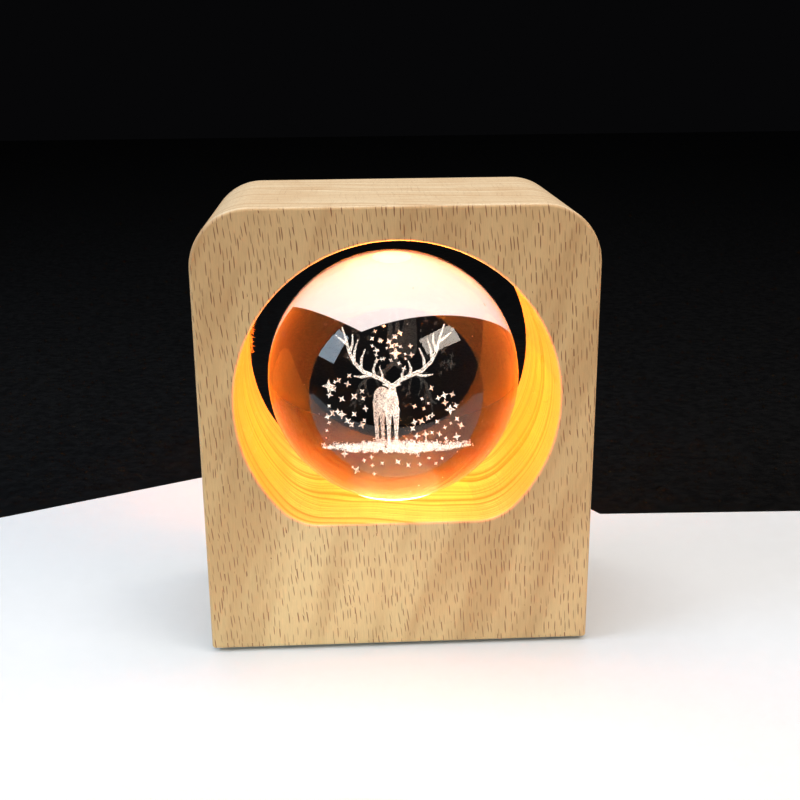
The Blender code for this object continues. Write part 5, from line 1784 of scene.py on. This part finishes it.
@dataclass
class Screws:
    """The countersunk cross-head screws of the base plate.

    Attributes:
        head: The head's radius.
        shank: The thread's outer radius.
        cone: The head's height.
        length: The whole length.
        seat: The height of the head's face.
        spread_x: How far apart they stand across.
        spread_y: How far apart they stand in the depth.
        pitch: The thread's pitch.
        root: The thread's inner radius, as a share of the outer.
        recess: The cross recess's length, width and depth.
        taper: How much of the recess's size is left at its end.
    """

    head: float = 2.2 * MM
    shank: float = 1.1 * MM
    cone: float = 1.2 * MM
    length: float = 9.0 * MM
    seat: float = 0.9 * MM
    spread_x: float = 69.0 * MM
    spread_y: float = 29.0 * MM
    pitch: float = 0.75 * MM
    root: float = 0.80
    recess: Point = (2.7 * MM, 0.55 * MM, 0.7 * MM)
    taper: float = 0.35

    def one(self) -> bpy.types.Object:
        """Builds one screw, head down, with its thread as ring grooves and a cross recess."""
        edge = 0.08 * MM
        profile = [(0, 0), (self.head - edge, 0), (self.head, edge), (self.shank, self.cone)]
        core = self.shank * self.root
        height = self.cone + 0.9 * MM
        while height < self.length - 2.0 * MM:
            profile += [(core, height), (core, height + 0.25 * MM), (self.shank, height + 0.42 * MM),
                        (core, height + 0.59 * MM)]
            height += self.pitch
        profile += [(self.shank * 0.78, self.length - 1.5 * MM), (0, self.length)]
        screw = piece_from("plate_screws", turned(profile, 32))
        long, narrow, deep = self.recess
        arms = []
        for size in ((long, narrow, 2 * deep), (narrow, long, 2 * deep)):
            bm = bmesh.new()
            bmesh.ops.create_cube(bm, size=1.0, matrix=Matrix.Diagonal((*size, 1.0)))
            for vert in bm.verts:
                if vert.co.z > 0:
                    vert.co.x *= self.taper
                    vert.co.y *= self.taper
            arms.append(bm)
        cut(screw, arms)
        screw.data.transform(Matrix.Translation((0, 0, self.seat)))
        screw.data.set_sharp_from_angle(angle=SMOOTH_ANGLE)
        return screw

    def dress(self) -> None:
        """Builds the four screws as one piece."""
        tree = copies_tree(ZINC_STEEL.make())
        screws = grow(self.one(), tree, {"Width": self.spread_x, "Depth": self.spread_y})
        mount(screws, Body.BLOCK, "screw_steel", "base_screw_1", "base_screw_2", "base_screw_3",
              "base_screw_4")


@dataclass
class Electrics:
    """What the hollow holds: battery, charging board, its parts, screws and leads."""

    def dress(self, nodes: dict[str, bpy.types.Object]) -> None:
        """Finishes the CAD nodes, whose shapes stay.

        Args:
            nodes: The CAD nodes.
        """
        leads = ("battery_lead", "light_lead", "switch_lead")
        looks = (
            (ZINC_STEEL, ("light_board_screw_1", "light_board_screw_2", "board_screw_1", "board_screw_2")),
            (Finish("battery_foil", (0.52, 0.54, 0.57), 0.32, metallic=0.7, density=700.0),
             ("battery_cell",)),
            (Finish("foam_tape", (0.08, 0.08, 0.08), 0.95, relief=0.08 * MM), ("battery_pad",)),
            (Finish("green_lacquer", (0.012, 0.11, 0.045), 0.32, coat=0.3), ("charging_board",)),
            (Finish("chip_resin", (0.015, 0.015, 0.015), 0.42), ("charging_chip",)),
            (Finish("ferrite", (0.07, 0.07, 0.075), 0.62), ("power_coil",)),
            (Finish("red_insulation", (0.50, 0.02, 0.02), 0.42), [f"{stem}_red" for stem in leads]),
            (Finish("black_insulation", (0.015, 0.015, 0.015), 0.42), [f"{stem}_black" for stem in leads]))
        for finish, names in looks:
            paint(nodes, finish.make(), *names)


# Studio


@dataclass
class Studio:
    """The floor, the dark room behind it, the lamps and the camera.

    Attributes:
        lens: The camera's focal length in millimetres.
        eye: The camera's place.
        turn: The camera's turn about X, Y and Z, in degrees.
        aim: The point that the soft lamps look at.
        fill: The strength of the room's light.
        amber: The colour of the lamp's own light.
    """

    lens: float = 51.797
    eye: Point = (-0.01127991, -0.26626081, 0.13639346)
    turn: Point = (72.63607, 0.47252, -2.91479)
    aim: Point = (0.0, 0.0, 0.055)
    fill: float = 0.215
    amber: Colour = (1.0, 0.25, 0.022)

    def camera(self) -> None:
        """Sets the camera at the photographed viewing angle."""
        data = bpy.data.cameras.new("camera")
        data.lens = self.lens
        data.sensor_width = 36.0
        data.clip_start = 0.005
        camera = bpy.data.objects.new("camera", data)
        turn = Euler([math.radians(angle) for angle in self.turn])
        camera.matrix_world = Matrix.LocRotScale(Vector(self.eye), turn, None)
        bpy.context.scene.collection.objects.link(camera)
        bpy.context.scene.camera = camera

    def plane(self, name: str, corners: Sequence[tuple[float, float]], height: float, colour: Colour) -> None:
        """Lays one flat sheet of the stage.

        Args:
            name: Its name.
            corners: Its outline in millimetres.
            height: Its height in metres.
            colour: Its colour.
        """
        bm = bmesh.new()
        bm.faces.new([bm.verts.new((x * MM, y * MM, height)) for x, y in corners])
        bmesh.ops.recalc_face_normals(bm, faces=bm.faces[:])
        if bm.faces[:][0].normal.z < 0:
            bmesh.ops.reverse_faces(bm, faces=bm.faces[:])
        piece_from(name, bm, Finish(name + "_paint", colour, 0.6, spread=0.01, relief=0.0).make())

    def hang(self, name: str, data: bpy.types.Light, place: Point, turn: Euler, glossy: bool) -> None:
        """Hangs a lamp that neither the camera nor glass shows.

        Args:
            name: Its name.
            data: The light.
            place: Where it hangs.
            turn: Its turn.
            glossy: Whether gloss shows it.
        """
        obj = bpy.data.objects.new(name, data)
        obj.location = place
        obj.rotation_euler = turn
        obj.visible_camera = False
        obj.visible_glossy = glossy
        obj.visible_transmission = False
        bpy.context.scene.collection.objects.link(obj)

    def lamp(self, name: str, place: Point, size: tuple[float, float], power: float, colour: Colour,
             seen: bool = True) -> None:
        """Hangs a soft lamp that looks at the ball.

        Args:
            name: Its name.
            place: Where it hangs.
            size: Its width and height.
            power: Its power in watts.
            colour: Its colour.
            seen: Whether gloss shows it.
        """
        data = bpy.data.lights.new(name, "AREA")
        data.shape = "RECTANGLE"
        data.size, data.size_y = size
        data.energy = power
        data.color = colour
        view = Vector(self.aim) - Vector(place)
        self.hang(name, data, place, view.to_track_quat("-Z", "Y").to_euler(), seen)

    def glow(self, name: str, place: Point, power: float, radius: float, cone: float = 0.0,
             blend: float = 0.0, colour: Colour | None = None) -> None:
        """Sets a lamp that stands for light the ball bends and spreads, which no gloss or glass shows.

        Args:
            name: Its name.
            place: Where it is.
            power: Its power in watts.
            radius: Its size.
            cone: The angle in degrees of a beam that points up, or 0 for light on all sides.
            blend: How softly the beam ends.
            colour: Its colour, amber if none is given.
        """
        data = bpy.data.lights.new(name, "SPOT" if cone else "POINT")
        if cone:
            data.spot_size = math.radians(cone)
            data.spot_blend = blend
        data.shadow_soft_size = radius
        data.energy = power
        data.color = colour or self.amber
        self.hang(name, data, place, Euler((math.pi, 0.0, 0.0)), False)

    def room(self) -> None:
        """Makes the room: soft even light, and dark where the camera, gloss or glass looks into it."""
        world = bpy.data.worlds.new("room")
        world.use_nodes = True
        graph = Graph(world.node_tree)
        path = graph.put("ShaderNodeLightPath").outputs
        bent = graph.math("MAXIMUM", path["Is Glossy Ray"], path["Is Transmission Ray"])
        seen = graph.math("MAXIMUM", path["Is Camera Ray"], bent)
        back = world.node_tree.nodes["Background"]
        graph.feed(back.inputs["Color"], graph.mix(seen, (0.92, 0.965, 1.0), (0.0021, 0.0021, 0.0024)))
        strength = graph.plus(graph.times(graph.minus(1.0, seen), self.fill), seen)
        graph.feed(back.inputs["Strength"], strength)
        bpy.context.scene.world = world

    def dress(self) -> None:
        """Builds the studio."""
        self.camera()
        self.room()
        board = ((-399, -86), (20.6, 130.6), (63.9, 50.2), (124.3, 48.2), (330, 40), (330, -120),
                 (-330, -120), (-399, -110))
        far = 1500
        ground = ((-far, -far), (far, -far), (far, far), (-far, far))
        self.plane("floor", board, 0.0, (0.725, 0.742, 0.770))
        self.plane("dark_floor", ground, -1.0 * MM, (0.0017, 0.0017, 0.0020))
        self.lamp("key_lamp", (-0.15, -0.34, 0.64), (0.80, 0.80), 1.95, (1.0, 0.945, 0.885), seen=False)
        self.lamp("top_lamp", (0.0, 0.10, 0.66), (0.40, 0.40), 2.4, (1.0, 0.99, 0.975), seen=False)
        self.lamp("low_lamp", (-0.015, -0.085, 0.010), (0.11, 0.015), 0.028, (0.52, 0.94, 1.0), seen=False)
        self.lamp("left_box", (-0.50, -0.14, 0.37), (0.34, 0.26), 1.85, (0.68, 0.84, 1.0))
        self.lamp("right_box", (0.37, -0.29, 0.43), (0.38, 0.15), 1.60, (1.0, 0.88, 0.76))
        self.glow("ball_light", (0.0045, 0.002, 0.055), 0.33, 0.010)
        self.glow("front_light", (0.0040, -0.015, 0.056), 0.030, 0.008)
        self.glow("ceiling_light", (0.001, 0.0, 0.062), 3.6, 0.002, 104.0, 1.0)
        self.glow("hot_light", (0.0, 0.003, 0.070), 1.25, 0.001, 66.0, 0.12, (0.9, 0.85, 1.2))
        self.glow("behind_light", (0.0, 0.050, 0.055), 0.036, 0.012, colour=(1.0, 0.84, 0.62))
        bpy.context.scene.view_settings.view_transform = "Standard"


def main() -> None:
    """Builds the lamp and its studio."""
    logging.basicConfig(level=logging.INFO, format="%(message)s")
    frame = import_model()
    nodes = frame["nodes"]
    BeechBlock().dress()
    ball = CrystalBall()
    ball.dress()
    Engraving().dress(ball.centre())
    LightSeat().dress(nodes)
    PushSwitch().dress(nodes)
    ChargingInlet().dress(nodes)
    Underside().dress(nodes)
    Electrics().dress(nodes)
    Studio().dress()


if __name__ == "__main__":
    main()
